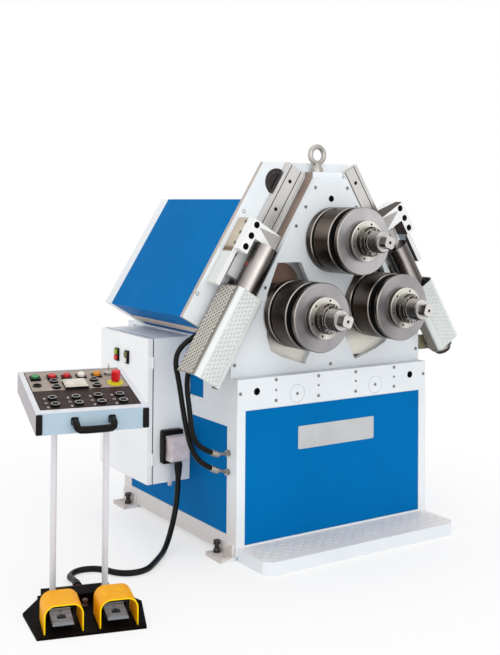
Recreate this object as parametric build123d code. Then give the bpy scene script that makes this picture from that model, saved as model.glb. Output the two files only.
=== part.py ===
"""Hydraulic three-roll profile bender with its control console and foot pedals.

Millimetres, Z up, origin on the floor at the centre of the four anchor holes.
X runs to the machine's right, Y runs from the operator to the rear.
"""
import os
from math import atan2, cos, degrees, pi, radians, sin, tan

from build123d import *

# Base cabinet
BASE_W = 950.0
BASE_D = 930.0
BASE_TOP = 560.0
BASE_BOTTOM = 16.0
BASE_WALL = 38.0
DECK_T = 12.0
FLOOR_T = 6.0
FRONT_PANEL_BOTTOM = 54.0
SIDE_BORDER = 68.0
SHEET_T = 3.0
REBATE = 8.0
PANEL_SINK = 2.0
PANEL_GAP = 1.0

# Feet and step
FOOT_OUT = 60.0
FOOT_IN = 60.0
FOOT_L = 110.0
FOOT_Y = 400.0
FOOT_PITCH = 26.0
ANCHOR_R = 9.0
JACK_R = 9.0
JACK_NUT_R = 15.0
JACK_NUT_T = 13.0
JACK_TOP = 61.0
STEP_D = 195.0
STEP_H = 48.0
STEP_W = 932.0
STEP_BEVEL = 30.0
STEP_T = 4.0

# Head plates
LOWER_PLATE_TOP = 676.0
LOWER_PLATE_T = 46.0
PLATE_T = 25.0
HEAD_KNEE_Z = 791.0
HEAD_TOP_Z = 1445.0
HEAD_TOP_HALF = 76.0
STRIP_T = 16.0
CAP_TOP = 1468.0
PLATE_GAP = 54.0
GUIDE_PLATE_T = 20.0
GUIDE_PLATE_TOP = 1504.0
LEFT_REACH = 205.0
RIGHT_REACH = 90.0
HOUSING_TOP = 812.0
HOUSING_INSET = 23.0
HOUSING_WALL = 16.0
TOP_HOLE_R = 13.0
TOP_HOLE_Z = 1360.0
PORT_HOLE_R = 55.0
PORT_X = -216.0
PORT_Z = 1425.0
BOLT_HOLE_R = 14.0
BOLT_HOLE_X = 386.0
BOLT_HOLE_Z = 626.0
BOLT_HOLE_L = 30.0
PLUG_R = 34.0
PLUG_X = 197.0
PLUG_Z = 601.0

# Hood
HOOD_ROOF = 1355.0
HOOD_KNEE = 910.0
HOOD_INSET = 135.0
HOOD_RIM = 60.0

# Rolls, shafts and slides
TOP_AXIS_Z = 1195.0
LOW_AXIS_X = 199.0
LEFT_AXIS_Z = 910.0
RIGHT_LIFT = 20.0
SLIDE_HIGH = 1005.0
SLIDE_LOW = 815.0
ROLL_R = 132.0
HUB_R = 95.0
SHAFT_R = 42.0
THREAD_R = 40.0
JOURNAL_R = 45.0
COLLAR_R = 58.0
NOSE_R = 60.0
CASE_R = 95.0
CASE_L = 365.0
GEARBOX_R = 108.0
GEARBOX_L = 160.0
MOTOR_R = 55.0
MOTOR_L = 120.0
SHAFT_SEAT = 60.0
ROLL_INSET = 40.0
REAR_RING = 34.0
REAR_GROOVE = 16.0
MID_RING = 95.0
FRONT_GROOVE = 36.0
FRONT_RING = 21.0
FLANGE_R = 80.0
FLANGE_T = 23.0
NUT_R = 58.0
NUT_T = 39.0
THREAD_L = 52.0
THREAD_CHAMFER = 4.0
SQUARE_R = 26.0
SQUARE_L = 36.0
SQUARE_HALF = 22.0
SLIDE_HALF = 125.0
SLIDE_UP = 115.0
SLIDE_DOWN = 210.0
RUN_FIT = 0.05
SLIDE_FIT = 0.4
ROD_R = 22.5
ROD_L = 325.0
PISTON_R = 40.0
PISTON_T = 40.0
BARREL_R = 50.0
BARREL_BOTTOM = 250.0

# Side guides, measured along the slanted head edge (s) and outwards from it (p)
RAIL_P0 = 26.0
RAIL_P1 = 114.0
RAIL_S0 = 215.0
RAIL_S1 = 768.0
RAIL_T = 26.0
RAIL_HOLE_END = 65.0
RAIL_HOLE_PITCH = 130.0
GUIDE_AXIS_P = 70.0
GUIDE_INSET = 30.0
GUIDE_BARREL_R = 48.0
GUIDE_BARREL_TOP = 396.0
GUIDE_BARREL_END = -114.0
GUIDE_ROD_R = 22.0
CARRIAGE_TOP = 464.0
CARRIAGE_REST = 398.0
RIGHT_GUIDE_LIFT = 78.0
ARM_HOLE_R = 13.0
ARM_HOLE_P = 163.0
ARM_HOLE_PITCH = 47.5
ARM_P0 = 40.0
ARM_W = 44.0
ARM_T = 40.0
ARM_DROP = 69.0
CARRIAGE_P1 = 187.0
SLIDER_L = 158.0
SIDE_PLATE_T = 22.0
SIDE_PLATE_L = 220.0
GUIDE_ROD_L = 330.0
COVER_HALF = 65.0
COVER_BEND = 26.0
COVER_T = 3.0
COVER_TOP = 200.0
LEFT_COVER_END = -168.0
RIGHT_COVER_END = -90.0

# Electrical cabinet on the left wall
CAB_W = 171.0
CAB_Y0 = -115.0
CAB_Y1 = 315.0
CAB_Z0 = 231.0
CAB_Z1 = 803.0
DOOR_T = 20.0
DOOR_GAP = 0.5
KNUCKLE_R = 5.0
PIN_R = 2.5

# Console, stand and pedals
STAND_X = -1112.0
STAND_Y = -475.0
STAND_TURN = -16.0
STAND_T = 8.0
POST_R = 10.5
POST_T = 2.5
POST_X = 88.0
CHANNEL_H = 26.0
CHANNEL_X0 = -125.0
CHANNEL_X1 = 104.0
CHANNEL_Y0 = -57.0
CHANNEL_Y1 = 25.0
CONSOLE_TURN = -11.4
CONSOLE_HALF = 185.0
CONSOLE_FRONT = -189.0
CONSOLE_REAR = 169.0
CONSOLE_FRONT_TOP = 667.0
CONSOLE_REAR_TOP = 745.0
CONSOLE_H = 69.0
PANEL_HALF = 167.0
PANEL_FRONT = 28.0
PANEL_REAR = 9.0
PANEL_T = 2.0
GUARD_X = 86.0
GUARD_HALF = 61.0
GUARD_T = 4.0
GUARD_Y0 = -293.0
GUARD_Y1 = -163.0
GUARD_H = 87.0
GUARD_CORNER = 35.0
PEDAL_HALF = 33.0
PEDAL_L = 96.0
PEDAL_T = 6.0

# Cords
HOSE_R = 10.0
CABLE_R = 11.0
CABLE_LIE = CABLE_R + 0.5
SLEEVE_L = 30.0
TUBE_R = 6.5
UNION_T = 14.0

FRONT = -BASE_D / 2
HALF_W = BASE_W / 2
COVER_PLATE_Y = FRONT + LOWER_PLATE_T
SLIDE_Y0 = COVER_PLATE_Y + PLATE_T
GUIDE_PLATE_Y = SLIDE_Y0 + PLATE_GAP
SLIDE_MID_Y = (SLIDE_Y0 + GUIDE_PLATE_Y) / 2
HOOD_Y0 = GUIDE_PLATE_Y + GUIDE_PLATE_T
SLANT = atan2(HEAD_TOP_Z - HEAD_KNEE_Z, HALF_W - HEAD_TOP_HALF)
RIGHT_AXIS_Z = LEFT_AXIS_Z + RIGHT_LIFT
ROLL_BACK = FRONT + ROLL_INSET
CASE_BACK = FRONT + CASE_L
GUIDE_AXIS_Y = FRONT + GUIDE_INSET
HOUSING_BACK = -FRONT - HOUSING_INSET
HOOD_BACK = -FRONT - HOOD_INSET

nodes = {}


def block(x0, x1, y0, y1, z0, z1):
    """Axis-aligned box from its limits."""
    return Pos((x0 + x1) / 2, (y0 + y1) / 2, (z0 + z1) / 2) * Box(x1 - x0, y1 - y0, z1 - z0)


def rod_y(radius, x, z, y0, y1):
    """Cylinder along Y."""
    return Pos(x, (y0 + y1) / 2, z) * Rot(90, 0, 0) * Cylinder(radius, y1 - y0)


def rod_z(radius, x, y, z0, z1):
    """Cylinder along Z."""
    return Pos(x, y, (z0 + z1) / 2) * Cylinder(radius, z1 - z0)


def rod_along(radius, start, direction, length):
    """Cylinder from a point along a direction."""
    plane = Plane(origin=start, z_dir=direction)
    return extrude(plane * Circle(radius), amount=length)


def hex_nut(x, y, z, height):
    """Hexagon standing on a level."""
    return extrude(Pos(x, y, z) * RegularPolygon(JACK_NUT_R, 6), amount=height)


def plate_xz(points, y0, y1):
    """Polygon in the XZ plane, extruded from y0 to y1."""
    plane = Plane(origin=(0, y0, 0), x_dir=(1, 0, 0), z_dir=(0, -1, 0))
    return extrude(plane * Polygon(*points, align=None), amount=y1 - y0, dir=(0, 1, 0))


def plate_xy(points, z0, z1):
    """Polygon in the XY plane, extruded from z0 to z1."""
    return extrude(Pos(0, 0, z0) * Polygon(*points, align=None), amount=z1 - z0, dir=(0, 0, 1))


def flip(shape):
    """Mirror image on the machine's other side."""
    return mirror(shape, about=Plane.YZ)


def group(*shapes):
    """Separate solids that share one node."""
    solids = [solid for shape in shapes for solid in shape.solids()]
    return Compound(children=solids)


def slant_x(z, reach):
    """X of the left slanted line at a height, a distance outwards from the head edge."""
    return -HALF_W + (z - HEAD_KNEE_Z) / tan(SLANT) - reach / sin(SLANT)


# Base cabinet with feet
base = block(-HALF_W, HALF_W, FRONT, -FRONT, BASE_BOTTOM, BASE_TOP)
inner_x = HALF_W - BASE_WALL
inner_y = -FRONT - BASE_WALL
base -= block(-inner_x, inner_x, -inner_y, inner_y, BASE_BOTTOM + FLOOR_T, BASE_TOP - DECK_T)
front_win = (-inner_x, inner_x, FRONT_PANEL_BOTTOM, BASE_TOP - SHEET_T)
side_win = (FRONT + SIDE_BORDER, -FRONT - SIDE_BORDER, BASE_BOTTOM + SIDE_BORDER, BASE_TOP - SIDE_BORDER)


def front_cut(window, inset, y0, y1):
    """Window through a wall that faces along Y."""
    x0, x1, z0, z1 = window
    return block(x0 + inset, x1 - inset, y0, y1, z0 + inset, z1 - inset)


def side_cut(window, inset, x0, x1):
    """Window through a wall that faces along X."""
    y0, y1, z0, z1 = window
    return block(x0, x1, y0 + inset, y1 - inset, z0 + inset, z1 - inset)


seat = SHEET_T + PANEL_SINK
front_hole = (front_win[0], front_win[1], front_win[2], BASE_TOP - BASE_WALL)
base -= front_cut(front_win, 0, FRONT, FRONT + seat)
base -= front_cut(front_hole, REBATE, FRONT, FRONT + BASE_WALL)
base -= front_cut(front_hole, REBATE, -FRONT - BASE_WALL, -FRONT)
base -= front_cut(front_win, 0, -FRONT - seat, -FRONT)
for wall in (-HALF_W, HALF_W - BASE_WALL):
    base -= side_cut(side_win, REBATE, wall, wall + BASE_WALL)
base -= side_cut(side_win, 0, -HALF_W, -HALF_W + seat)
base -= side_cut(side_win, 0, HALF_W - seat, HALF_W)
for side in (-1, 1):
    base -= rod_z(ROD_R + 8, side * LOW_AXIS_X, SLIDE_MID_Y, BASE_TOP - DECK_T, BASE_TOP)
base -= block(-inner_x + 60, inner_x - 60, HOOD_Y0 + 120, inner_y - 120, BASE_TOP - DECK_T, BASE_TOP)

foot_x = HALF_W + FOOT_OUT / 2 - 2
jacks = []
for sx in (-1, 1):
    for sy in (-1, 1):
        x_in, x_out = HALF_W - FOOT_IN, HALF_W + FOOT_OUT
        y_mid = sy * FOOT_Y
        low, high = sorted((sx * x_in, sx * x_out))
        base += block(low, high, y_mid - FOOT_L / 2, y_mid + FOOT_L / 2, 0, BASE_BOTTOM)
        low, high = sorted((sx * HALF_W, sx * (HALF_W + 10)))
        base += block(low, high, y_mid - FOOT_L / 2, y_mid + FOOT_L / 2, BASE_BOTTOM, BASE_BOTTOM + 46)
        base -= rod_z(ANCHOR_R, sx * foot_x, y_mid + sy * FOOT_PITCH, 0, BASE_BOTTOM)
        jack_y = y_mid - sy * FOOT_PITCH
        base -= rod_z(JACK_R + RUN_FIT, sx * foot_x, jack_y, 0, BASE_BOTTOM)
        stud = rod_z(JACK_R, sx * foot_x, jack_y, 0, JACK_TOP - 1)
        nut = hex_nut(sx * foot_x, jack_y, BASE_BOTTOM, JACK_NUT_T)
        cap = hex_nut(sx * foot_x, jack_y, JACK_TOP - JACK_NUT_T, JACK_NUT_T)
        jacks.append(stud + nut + cap)
nodes["base_frame"] = base
nodes["levelling_feet"] = group(*jacks)

# Head housing: walls, guide plate, edge strips and slide guides as one weldment
housing = block(-HALF_W, HALF_W, SLIDE_Y0, HOUSING_BACK, BASE_TOP, HOUSING_TOP)
hw = HALF_W - HOUSING_WALL
housing -= block(-hw, hw, SLIDE_Y0, HOUSING_BACK - HOUSING_WALL, BASE_TOP, HOUSING_TOP - DECK_T)
housing -= block(-hw, hw, SLIDE_Y0, HOOD_BACK - HOOD_RIM, HOUSING_TOP - DECK_T, HOUSING_TOP)
upper_win = (FRONT + 247, -FRONT - 73, BASE_TOP + 10, HOUSING_TOP - 14)
for wall in (-HALF_W, hw):
    housing -= side_cut(upper_win, REBATE, wall, wall + HOUSING_WALL)
housing -= side_cut(upper_win, 0, -HALF_W, -HALF_W + seat)
housing -= side_cut(upper_win, 0, HALF_W - seat, HALF_W)

right_foot_z = HEAD_KNEE_Z + RIGHT_REACH / sin(SLANT) * tan(SLANT)
hood_left = [
    (-HALF_W, HOUSING_TOP),
    (slant_x(HOOD_KNEE, LEFT_REACH), HOOD_KNEE),
]
guide_outline = [
    (-HALF_W, BASE_TOP),
    *hood_left,
    (slant_x(GUIDE_PLATE_TOP, LEFT_REACH), GUIDE_PLATE_TOP),
    (-slant_x(GUIDE_PLATE_TOP, RIGHT_REACH), GUIDE_PLATE_TOP),
    (HALF_W, right_foot_z),
    (HALF_W, BASE_TOP),
]
guide_plate = plate_xz(guide_outline, GUIDE_PLATE_Y, HOOD_Y0)
guide_plate -= rod_y(CASE_R, 0, TOP_AXIS_Z, GUIDE_PLATE_Y, HOOD_Y0)
guide_plate -= rod_y(PORT_HOLE_R, PORT_X, PORT_Z, GUIDE_PLATE_Y, HOOD_Y0)
case_gap = CASE_R + 5
for side in (-1, 1):
    x = side * LOW_AXIS_X
    guide_plate -= block(x - case_gap, x + case_gap, GUIDE_PLATE_Y, HOOD_Y0, SLIDE_LOW, SLIDE_HIGH)
    guide_plate -= rod_y(case_gap, x, SLIDE_LOW, GUIDE_PLATE_Y, HOOD_Y0)
    guide_plate -= rod_y(case_gap, x, SLIDE_HIGH, GUIDE_PLATE_Y, HOOD_Y0)
housing += guide_plate

strip = plate_xz(
    [
        (-HALF_W, BASE_TOP),
        (-HALF_W, HEAD_KNEE_Z),
        (-HEAD_TOP_HALF, HEAD_TOP_Z),
        (-HEAD_TOP_HALF + STRIP_T / sin(SLANT), HEAD_TOP_Z),
        (slant_x(HEAD_KNEE_Z, -STRIP_T), HEAD_KNEE_Z),
        (-hw, HEAD_KNEE_Z),
        (-hw, BASE_TOP),
    ],
    SLIDE_Y0,
    GUIDE_PLATE_Y,
)
housing += strip
housing += flip(strip)
housing += block(-HEAD_TOP_HALF, HEAD_TOP_HALF, SLIDE_Y0, GUIDE_PLATE_Y, HEAD_TOP_Z - 30, CAP_TOP)
gib = LOW_AXIS_X - SLIDE_HALF - SLIDE_FIT
housing += block(-gib, gib, SLIDE_Y0, GUIDE_PLATE_Y, BASE_TOP, TOP_AXIS_Z - CASE_R - 15)
outer_gib = LOW_AXIS_X + SLIDE_HALF + SLIDE_FIT
gib_top = SLIDE_HIGH - 100
housing += block(-outer_gib - 19, -outer_gib, SLIDE_Y0, GUIDE_PLATE_Y, BASE_TOP, gib_top)
housing += block(outer_gib, outer_gib + 19, SLIDE_Y0, GUIDE_PLATE_Y, BASE_TOP, gib_top)
EYE_X = -33.0
EYE_Y = GUIDE_PLATE_Y - 25
housing -= rod_z(10 + RUN_FIT, EYE_X, EYE_Y, CAP_TOP - 30, CAP_TOP)
nodes["head_housing"] = housing

# Blue sheet panels of the base and the head housing
f = PANEL_GAP
sheets = [
    front_cut(front_win, f, FRONT + PANEL_SINK, FRONT + seat),
    front_cut(front_win, f, -FRONT - seat, -FRONT - PANEL_SINK),
    side_cut(side_win, f, -HALF_W + PANEL_SINK, -HALF_W + seat),
    side_cut(side_win, f, HALF_W - seat, HALF_W - PANEL_SINK),
    side_cut(upper_win, f, -HALF_W + PANEL_SINK, -HALF_W + seat),
    side_cut(upper_win, f, HALF_W - seat, HALF_W - PANEL_SINK),
]
nodes["base_panels"] = group(*sheets)

# Step in front of the machine
step_half = STEP_W / 2
step_y = FRONT - STEP_D
step_outline = [
    (-step_half, FRONT),
    (-step_half, step_y + STEP_BEVEL),
    (-step_half + STEP_BEVEL, step_y),
    (step_half - STEP_BEVEL, step_y),
    (step_half, step_y + STEP_BEVEL),
    (step_half, FRONT),
]
step = plate_xy(step_outline, 0, STEP_H)
inset = STEP_T * tan(pi / 8)
step_inner = [
    (-step_half + STEP_T, FRONT - STEP_T),
    (-step_half + STEP_T, step_y + STEP_BEVEL + inset),
    (-step_half + STEP_BEVEL + inset, step_y + STEP_T),
    (step_half - STEP_BEVEL - inset, step_y + STEP_T),
    (step_half - STEP_T, step_y + STEP_BEVEL + inset),
    (step_half - STEP_T, FRONT - STEP_T),
]
step -= plate_xy(step_inner, 0, STEP_H - STEP_T)
nodes["step_platform"] = step

# Lower front plate with the two round plug seats and lifting holes
lower = block(-HALF_W + 2, HALF_W - 2, FRONT, COVER_PLATE_Y, BASE_TOP, LOWER_PLATE_TOP)
for side in (-1, 1):
    ring = rod_y(PLUG_R + 1.5, side * PLUG_X, PLUG_Z, FRONT, FRONT + 2)
    ring -= rod_y(PLUG_R, side * PLUG_X, PLUG_Z, FRONT, FRONT + 2)
    lower -= ring
    lower -= rod_y(BOLT_HOLE_R, side * BOLT_HOLE_X, BOLT_HOLE_Z, FRONT, FRONT + BOLT_HOLE_L)
nodes["lower_front_plate"] = lower

# Head front plate with the shaft openings
cover_outline = [
    (-HALF_W, BASE_TOP),
    (-HALF_W, HEAD_KNEE_Z),
    (-HEAD_TOP_HALF, HEAD_TOP_Z),
    (HEAD_TOP_HALF, HEAD_TOP_Z),
    (HALF_W, HEAD_KNEE_Z),
    (HALF_W, BASE_TOP),
]
cover_plate = plate_xz(cover_outline, COVER_PLATE_Y, SLIDE_Y0)
slot_outline = [
    (-262, 1108),
    (-290, 1040),
    (-311, 985),
    (-311, 825),
    (-293, 768),
    (-244, 743),
    (-128, 704),
    (-gib, 805),
    (-gib, 960),
    (-150, 1108),
]
slot = plate_xz(slot_outline, COVER_PLATE_Y, SLIDE_Y0)
cover_plate -= slot
cover_plate -= flip(slot)
cover_plate -= rod_y(NOSE_R, 0, TOP_AXIS_Z, COVER_PLATE_Y, SLIDE_Y0)
cover_plate -= rod_y(TOP_HOLE_R, 0, TOP_HOLE_Z, COVER_PLATE_Y, SLIDE_Y0)
nodes["head_front_plate"] = cover_plate

# Hood: folded blue sheet and white rear pan
hood_outline = [
    *hood_left,
    (slant_x(HOOD_ROOF, LEFT_REACH), HOOD_ROOF),
    (-slant_x(HOOD_ROOF, RIGHT_REACH), HOOD_ROOF),
    (HALF_W, right_foot_z),
    (HALF_W, HOUSING_TOP),
]
hood_face = Polygon(*hood_outline, align=None)
hood_core = offset(hood_face, amount=-SHEET_T, kind=Kind.INTERSECTION)
hood_plane = Plane(origin=(0, HOOD_Y0, 0), x_dir=(1, 0, 0), z_dir=(0, -1, 0))
hood_split = HOOD_BACK - HOOD_RIM
hood = extrude(hood_plane * (hood_face - hood_core), amount=hood_split - HOOD_Y0, dir=(0, 1, 0))
hood -= block(-hw, hw, HOOD_Y0, hood_split, HOUSING_TOP, HOUSING_TOP + SHEET_T)
nodes["hood_panels"] = hood
rim_plane = Plane(origin=(0, hood_split, 0), x_dir=(1, 0, 0), z_dir=(0, -1, 0))
rear_pan = extrude(rim_plane * hood_face, amount=HOOD_RIM, dir=(0, 1, 0))
rear_pan -= extrude(rim_plane * hood_core, amount=HOOD_RIM - SHEET_T, dir=(0, 1, 0))
nodes["hood_rear_frame"] = rear_pan

# Lifting eye
EYE_RING_R = 33.5
EYE_BAR_R = 10.5
EYE_RING_Z = 1538.0
eye = rod_z(10, EYE_X, EYE_Y, CAP_TOP - 28, CAP_TOP)
eye += rod_z(24, EYE_X, EYE_Y, CAP_TOP, CAP_TOP + 12)
eye += Pos(EYE_X, EYE_Y, CAP_TOP + 12) * Cone(24, 14, 22, align=(Align.CENTER, Align.CENTER, Align.MIN))
eye += Pos(EYE_X, EYE_Y, EYE_RING_Z) * Rot(90, 0, 0) * Torus(EYE_RING_R, EYE_BAR_R)
nodes["lifting_eye"] = eye


# Rolls, shafts and their bearing cases
def roll_shaft(x, z):
    """Stepped shaft with collar, journal, seat and square nose."""
    face = ROLL_BACK
    seat_end = face - REAR_RING - REAR_GROOVE - MID_RING - FRONT_GROOVE - FRONT_RING
    seat_end -= FLANGE_T + 2 + NUT_T + THREAD_L
    shaft = rod_y(JOURNAL_R, x, z, face, CASE_BACK + SHAFT_SEAT)
    shaft += rod_y(COLLAR_R, x, z, face, COVER_PLATE_Y - 1)
    shaft += rod_y(SHAFT_R, x, z, seat_end + THREAD_L, face)
    thread = rod_y(THREAD_R, x, z, seat_end, seat_end + THREAD_L)
    shaft += chamfer(thread.edges().sort_by(Axis.Y)[0], THREAD_CHAMFER)
    nose = rod_y(SQUARE_R, x, z, seat_end - SQUARE_L, seat_end)
    square = Rot(0, 20, 0) * Box(2 * SQUARE_HALF, SQUARE_L, 2 * SQUARE_HALF)
    nose &= Pos(x, seat_end - SQUARE_L / 2, z) * square
    nose -= rod_y(6, x, z, seat_end - SQUARE_L, seat_end - SQUARE_L + 18)
    return shaft + nose


def ring(x, z, y_back, width, hub):
    """One roll ring with chamfered rims and a hub that keeps the groove open."""
    rim = rod_y(ROLL_R, x, z, y_back - width, y_back)
    rim = chamfer(rim.edges().filter_by(GeomType.CIRCLE), 3)
    if hub:
        rim += rod_y(HUB_R, x, z, y_back - width - hub, y_back - width)
    return rim - rod_y(SHAFT_R, x, z, y_back - width - hub, y_back)


def roll_set(x, z):
    """Three rings, locking flange and slotted nut on one shaft."""
    y = ROLL_BACK
    rear = ring(x, z, y, REAR_RING, REAR_GROOVE)
    y -= REAR_RING + REAR_GROOVE
    middle = ring(x, z, y, MID_RING, FRONT_GROOVE)
    y -= MID_RING + FRONT_GROOVE
    front = ring(x, z, y, FRONT_RING, 0)
    y -= FRONT_RING
    flange = rod_y(FLANGE_R, x, z, y - FLANGE_T, y)
    flange = chamfer(flange.edges().sort_by(Axis.Y)[0], 3)
    flange -= rod_y(SHAFT_R, x, z, y - FLANGE_T, y)
    for turn in range(6):
        angle = radians(60 * turn + 15)
        flange -= rod_y(4.5, x + 68 * cos(angle), z + 68 * sin(angle), y - FLANGE_T, y - FLANGE_T + 9)
    y -= FLANGE_T
    nut = rod_y(NUT_R - 6, x, z, y - NUT_T - 2, y) + rod_y(NUT_R, x, z, y - NUT_T * 0.55, y)
    for turn in range(4):
        notch = Pos(NUT_R, 0, 0) * Box(18, 22, 12)
        notch = Pos(x, y - NUT_T, z) * Rot(0, 90 * turn + 30, 0) * notch
        nut -= notch
    nut -= rod_y(SHAFT_R, x, z, y - NUT_T - 2, y)
    return group(rear, middle, front, flange, nut)


def bearing_case(x, z):
    """Bearing case with a front nose, bored for the shaft journal."""
    case = rod_y(CASE_R, x, z, SLIDE_Y0 + SLIDE_FIT, CASE_BACK)
    return case + rod_y(NOSE_R, x, z, COVER_PLATE_Y, SLIDE_Y0 + SLIDE_FIT)


def journal_bore(x, z):
    """Bore for the shaft journal through a bearing case and into a gearbox."""
    return rod_y(JOURNAL_R + RUN_FIT, x, z, COVER_PLATE_Y, CASE_BACK + SHAFT_SEAT + 2)


def gear_motor(x, z):
    """Planetary gearbox and hydraulic motor behind a bearing case."""
    gear_end = CASE_BACK + GEARBOX_L
    drive = rod_y(GEARBOX_R, x, z, CASE_BACK, gear_end)
    drive += rod_y(MOTOR_R, x, z, gear_end, gear_end + MOTOR_L)
    return drive - journal_bore(x, z)


nodes["upper_roll_shaft"] = roll_shaft(0, TOP_AXIS_Z)
nodes["upper_roll_set"] = roll_set(0, TOP_AXIS_Z)
upper_case = bearing_case(0, TOP_AXIS_Z) - journal_bore(0, TOP_AXIS_Z)
nodes["upper_roll_drive"] = group(upper_case, gear_motor(0, TOP_AXIS_Z))

slide_trim = (SLIDE_HIGH - HEAD_KNEE_Z) / tan(SLANT) + (STRIP_T + 4) / sin(SLANT) - HALF_W + LOW_AXIS_X


def roll_slide(side, z):
    """Slide plate, bearing case, gear motor and cylinder rod for one lower roll."""
    x = side * LOW_AXIS_X
    foot = -SLIDE_DOWN
    outline = [
        (-SLIDE_HALF, foot),
        (SLIDE_HALF, foot),
        (SLIDE_HALF, SLIDE_UP),
        (slide_trim + SLIDE_UP / tan(SLANT), SLIDE_UP),
        (-SLIDE_HALF, (-SLIDE_HALF - slide_trim) * tan(SLANT)),
    ]
    points = [(x - side * px, z + pz) for px, pz in outline]
    plate = plate_xz(points, SLIDE_Y0 + SLIDE_FIT, GUIDE_PLATE_Y - SLIDE_FIT)
    plate += bearing_case(x, z)
    plate -= journal_bore(x, z)
    rod_top = z - SLIDE_DOWN
    rod = rod_z(ROD_R, x, SLIDE_MID_Y, rod_top - ROD_L, rod_top)
    rod += rod_z(PISTON_R, x, SLIDE_MID_Y, rod_top - ROD_L, rod_top - ROD_L + PISTON_T)
    return group(plate, gear_motor(x, z), rod)


for name, side, axis_z in (("left", -1, LEFT_AXIS_Z), ("right", 1, RIGHT_AXIS_Z)):
    nodes[f"{name}_roll_shaft"] = roll_shaft(side * LOW_AXIS_X, axis_z)
    nodes[f"{name}_roll_set"] = roll_set(side * LOW_AXIS_X, axis_z)
    nodes[f"{name}_roll_slide"] = roll_slide(side, axis_z)

barrel_top = BASE_TOP - DECK_T
barrels = []
for side in (-1, 1):
    x = side * LOW_AXIS_X
    barrel = rod_z(BARREL_R, x, SLIDE_MID_Y, BARREL_BOTTOM, barrel_top)
    barrel += block(x - 65, x + 65, -inner_y + 4, SLIDE_MID_Y + 65, barrel_top - 22, barrel_top)
    barrel -= rod_z(PISTON_R + RUN_FIT, x, SLIDE_MID_Y, BARREL_BOTTOM + 12, barrel_top - 25)
    barrel -= rod_z(ROD_R + RUN_FIT, x, SLIDE_MID_Y, barrel_top - 30, barrel_top)
    barrels.append(barrel)
nodes["roll_cylinders"] = group(*barrels)

# Oil tank, pump motor and pump inside the base
TANK_TOP = 330.0
base_floor = BASE_BOTTOM + FLOOR_T
tank = block(-230, 330, -120, 360, base_floor, TANK_TOP)
tank -= block(-226, 326, -116, 356, base_floor + 4, TANK_TOP - 4)
tank -= rod_z(25, -60, 280, TANK_TOP - 4, TANK_TOP)
pump = rod_z(60, 200, 120, TANK_TOP, TANK_TOP + 60)
pump_motor = rod_z(88, 200, 120, TANK_TOP + 60, TANK_TOP + 195)
valves = block(-180, 20, 20, 180, TANK_TOP, TANK_TOP + 90)
nodes["hydraulic_unit"] = group(tank, pump, pump_motor, valves)

# Side guides
guide_out = Vector(-sin(SLANT), 0, cos(SLANT))
guide_along = Vector(cos(SLANT), 0, sin(SLANT))
guide_origin = Vector(-HALF_W, 0, HEAD_KNEE_Z)
guide_at = Location(Plane(origin=guide_origin, x_dir=guide_out, z_dir=(0, 1, 0)))


def guide_block(p0, p1, s0, s1, y0, y1):
    """Box in the left guide's own frame."""
    return guide_at * block(p0, p1, s0, s1, y0, y1)


def guide_rod(radius, p, y, s0, s1):
    """Cylinder along the left guide."""
    return guide_at * Pos(p, (s0 + s1) / 2, y) * Rot(90, 0, 0) * Cylinder(radius, s1 - s0)


def guide_hole(radius, p, s, y0, y1):
    """Hole along Y at a point of the left guide."""
    return guide_at * Pos(p, s, (y0 + y1) / 2) * Cylinder(radius, y1 - y0)


rail_y = GUIDE_PLATE_Y - RAIL_T
rail = guide_block(RAIL_P0, RAIL_P1, RAIL_S0, RAIL_S1, rail_y, GUIDE_PLATE_Y)
for groove in (44, 96):
    rail -= guide_block(groove - 2, groove + 2, RAIL_S0, RAIL_S1, rail_y, rail_y + 4)
for step_s in range(4):
    hole_s = RAIL_S1 - RAIL_HOLE_END - RAIL_HOLE_PITCH * step_s
    rail -= guide_hole(8, (RAIL_P0 + RAIL_P1) / 2, hole_s, rail_y, rail_y + 12)
nodes["guide_rails"] = group(rail, flip(rail))

carriage_y0 = FRONT + 15
slider_y0 = GUIDE_AXIS_Y + GUIDE_BARREL_R + 3
slider_y1 = GUIDE_PLATE_Y - 3


def guide_carriage(lift):
    """Slider on the rail, side plate, arm block with three holes, and cylinder rod."""
    top = CARRIAGE_TOP + lift
    low = CARRIAGE_REST + lift
    slider_end = low - SLIDER_L
    side_p = CARRIAGE_P1 - SIDE_PLATE_T
    arm_back = carriage_y0 + ARM_T
    body = guide_block(RAIL_P0 - 14, CARRIAGE_P1, slider_end, top, slider_y0, slider_y1)
    body -= guide_block(RAIL_P0 - 0.5, RAIL_P1 + 0.5, slider_end, top, rail_y - 0.5, slider_y1)
    body -= guide_block(RAIL_P1 + 30, side_p, slider_end, low - ARM_DROP, slider_y0, slider_y1)
    body += guide_block(side_p, CARRIAGE_P1, low - SIDE_PLATE_L, top, arm_back, slider_y1)
    body += guide_block(CARRIAGE_P1 - ARM_W, CARRIAGE_P1, low - ARM_DROP, top, arm_back, slider_y0)
    body += guide_block(ARM_P0, CARRIAGE_P1, low, top, arm_back, slider_y0)
    arm = guide_block(CARRIAGE_P1 - ARM_W, CARRIAGE_P1, low - ARM_DROP, top, carriage_y0, arm_back)
    arm += guide_block(ARM_P0, CARRIAGE_P1, low, top, carriage_y0, arm_back)
    for hole in range(3):
        arm -= guide_hole(ARM_HOLE_R, ARM_HOLE_P, top - 18 - ARM_HOLE_PITCH * hole, carriage_y0, arm_back)
    rod = guide_rod(GUIDE_ROD_R, GUIDE_AXIS_P, GUIDE_AXIS_Y, low - GUIDE_ROD_L, low)
    return group(body, arm, rod)


nodes["left_guide_carriage"] = guide_carriage(0)
nodes["right_guide_carriage"] = flip(guide_carriage(RIGHT_GUIDE_LIFT))

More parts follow.
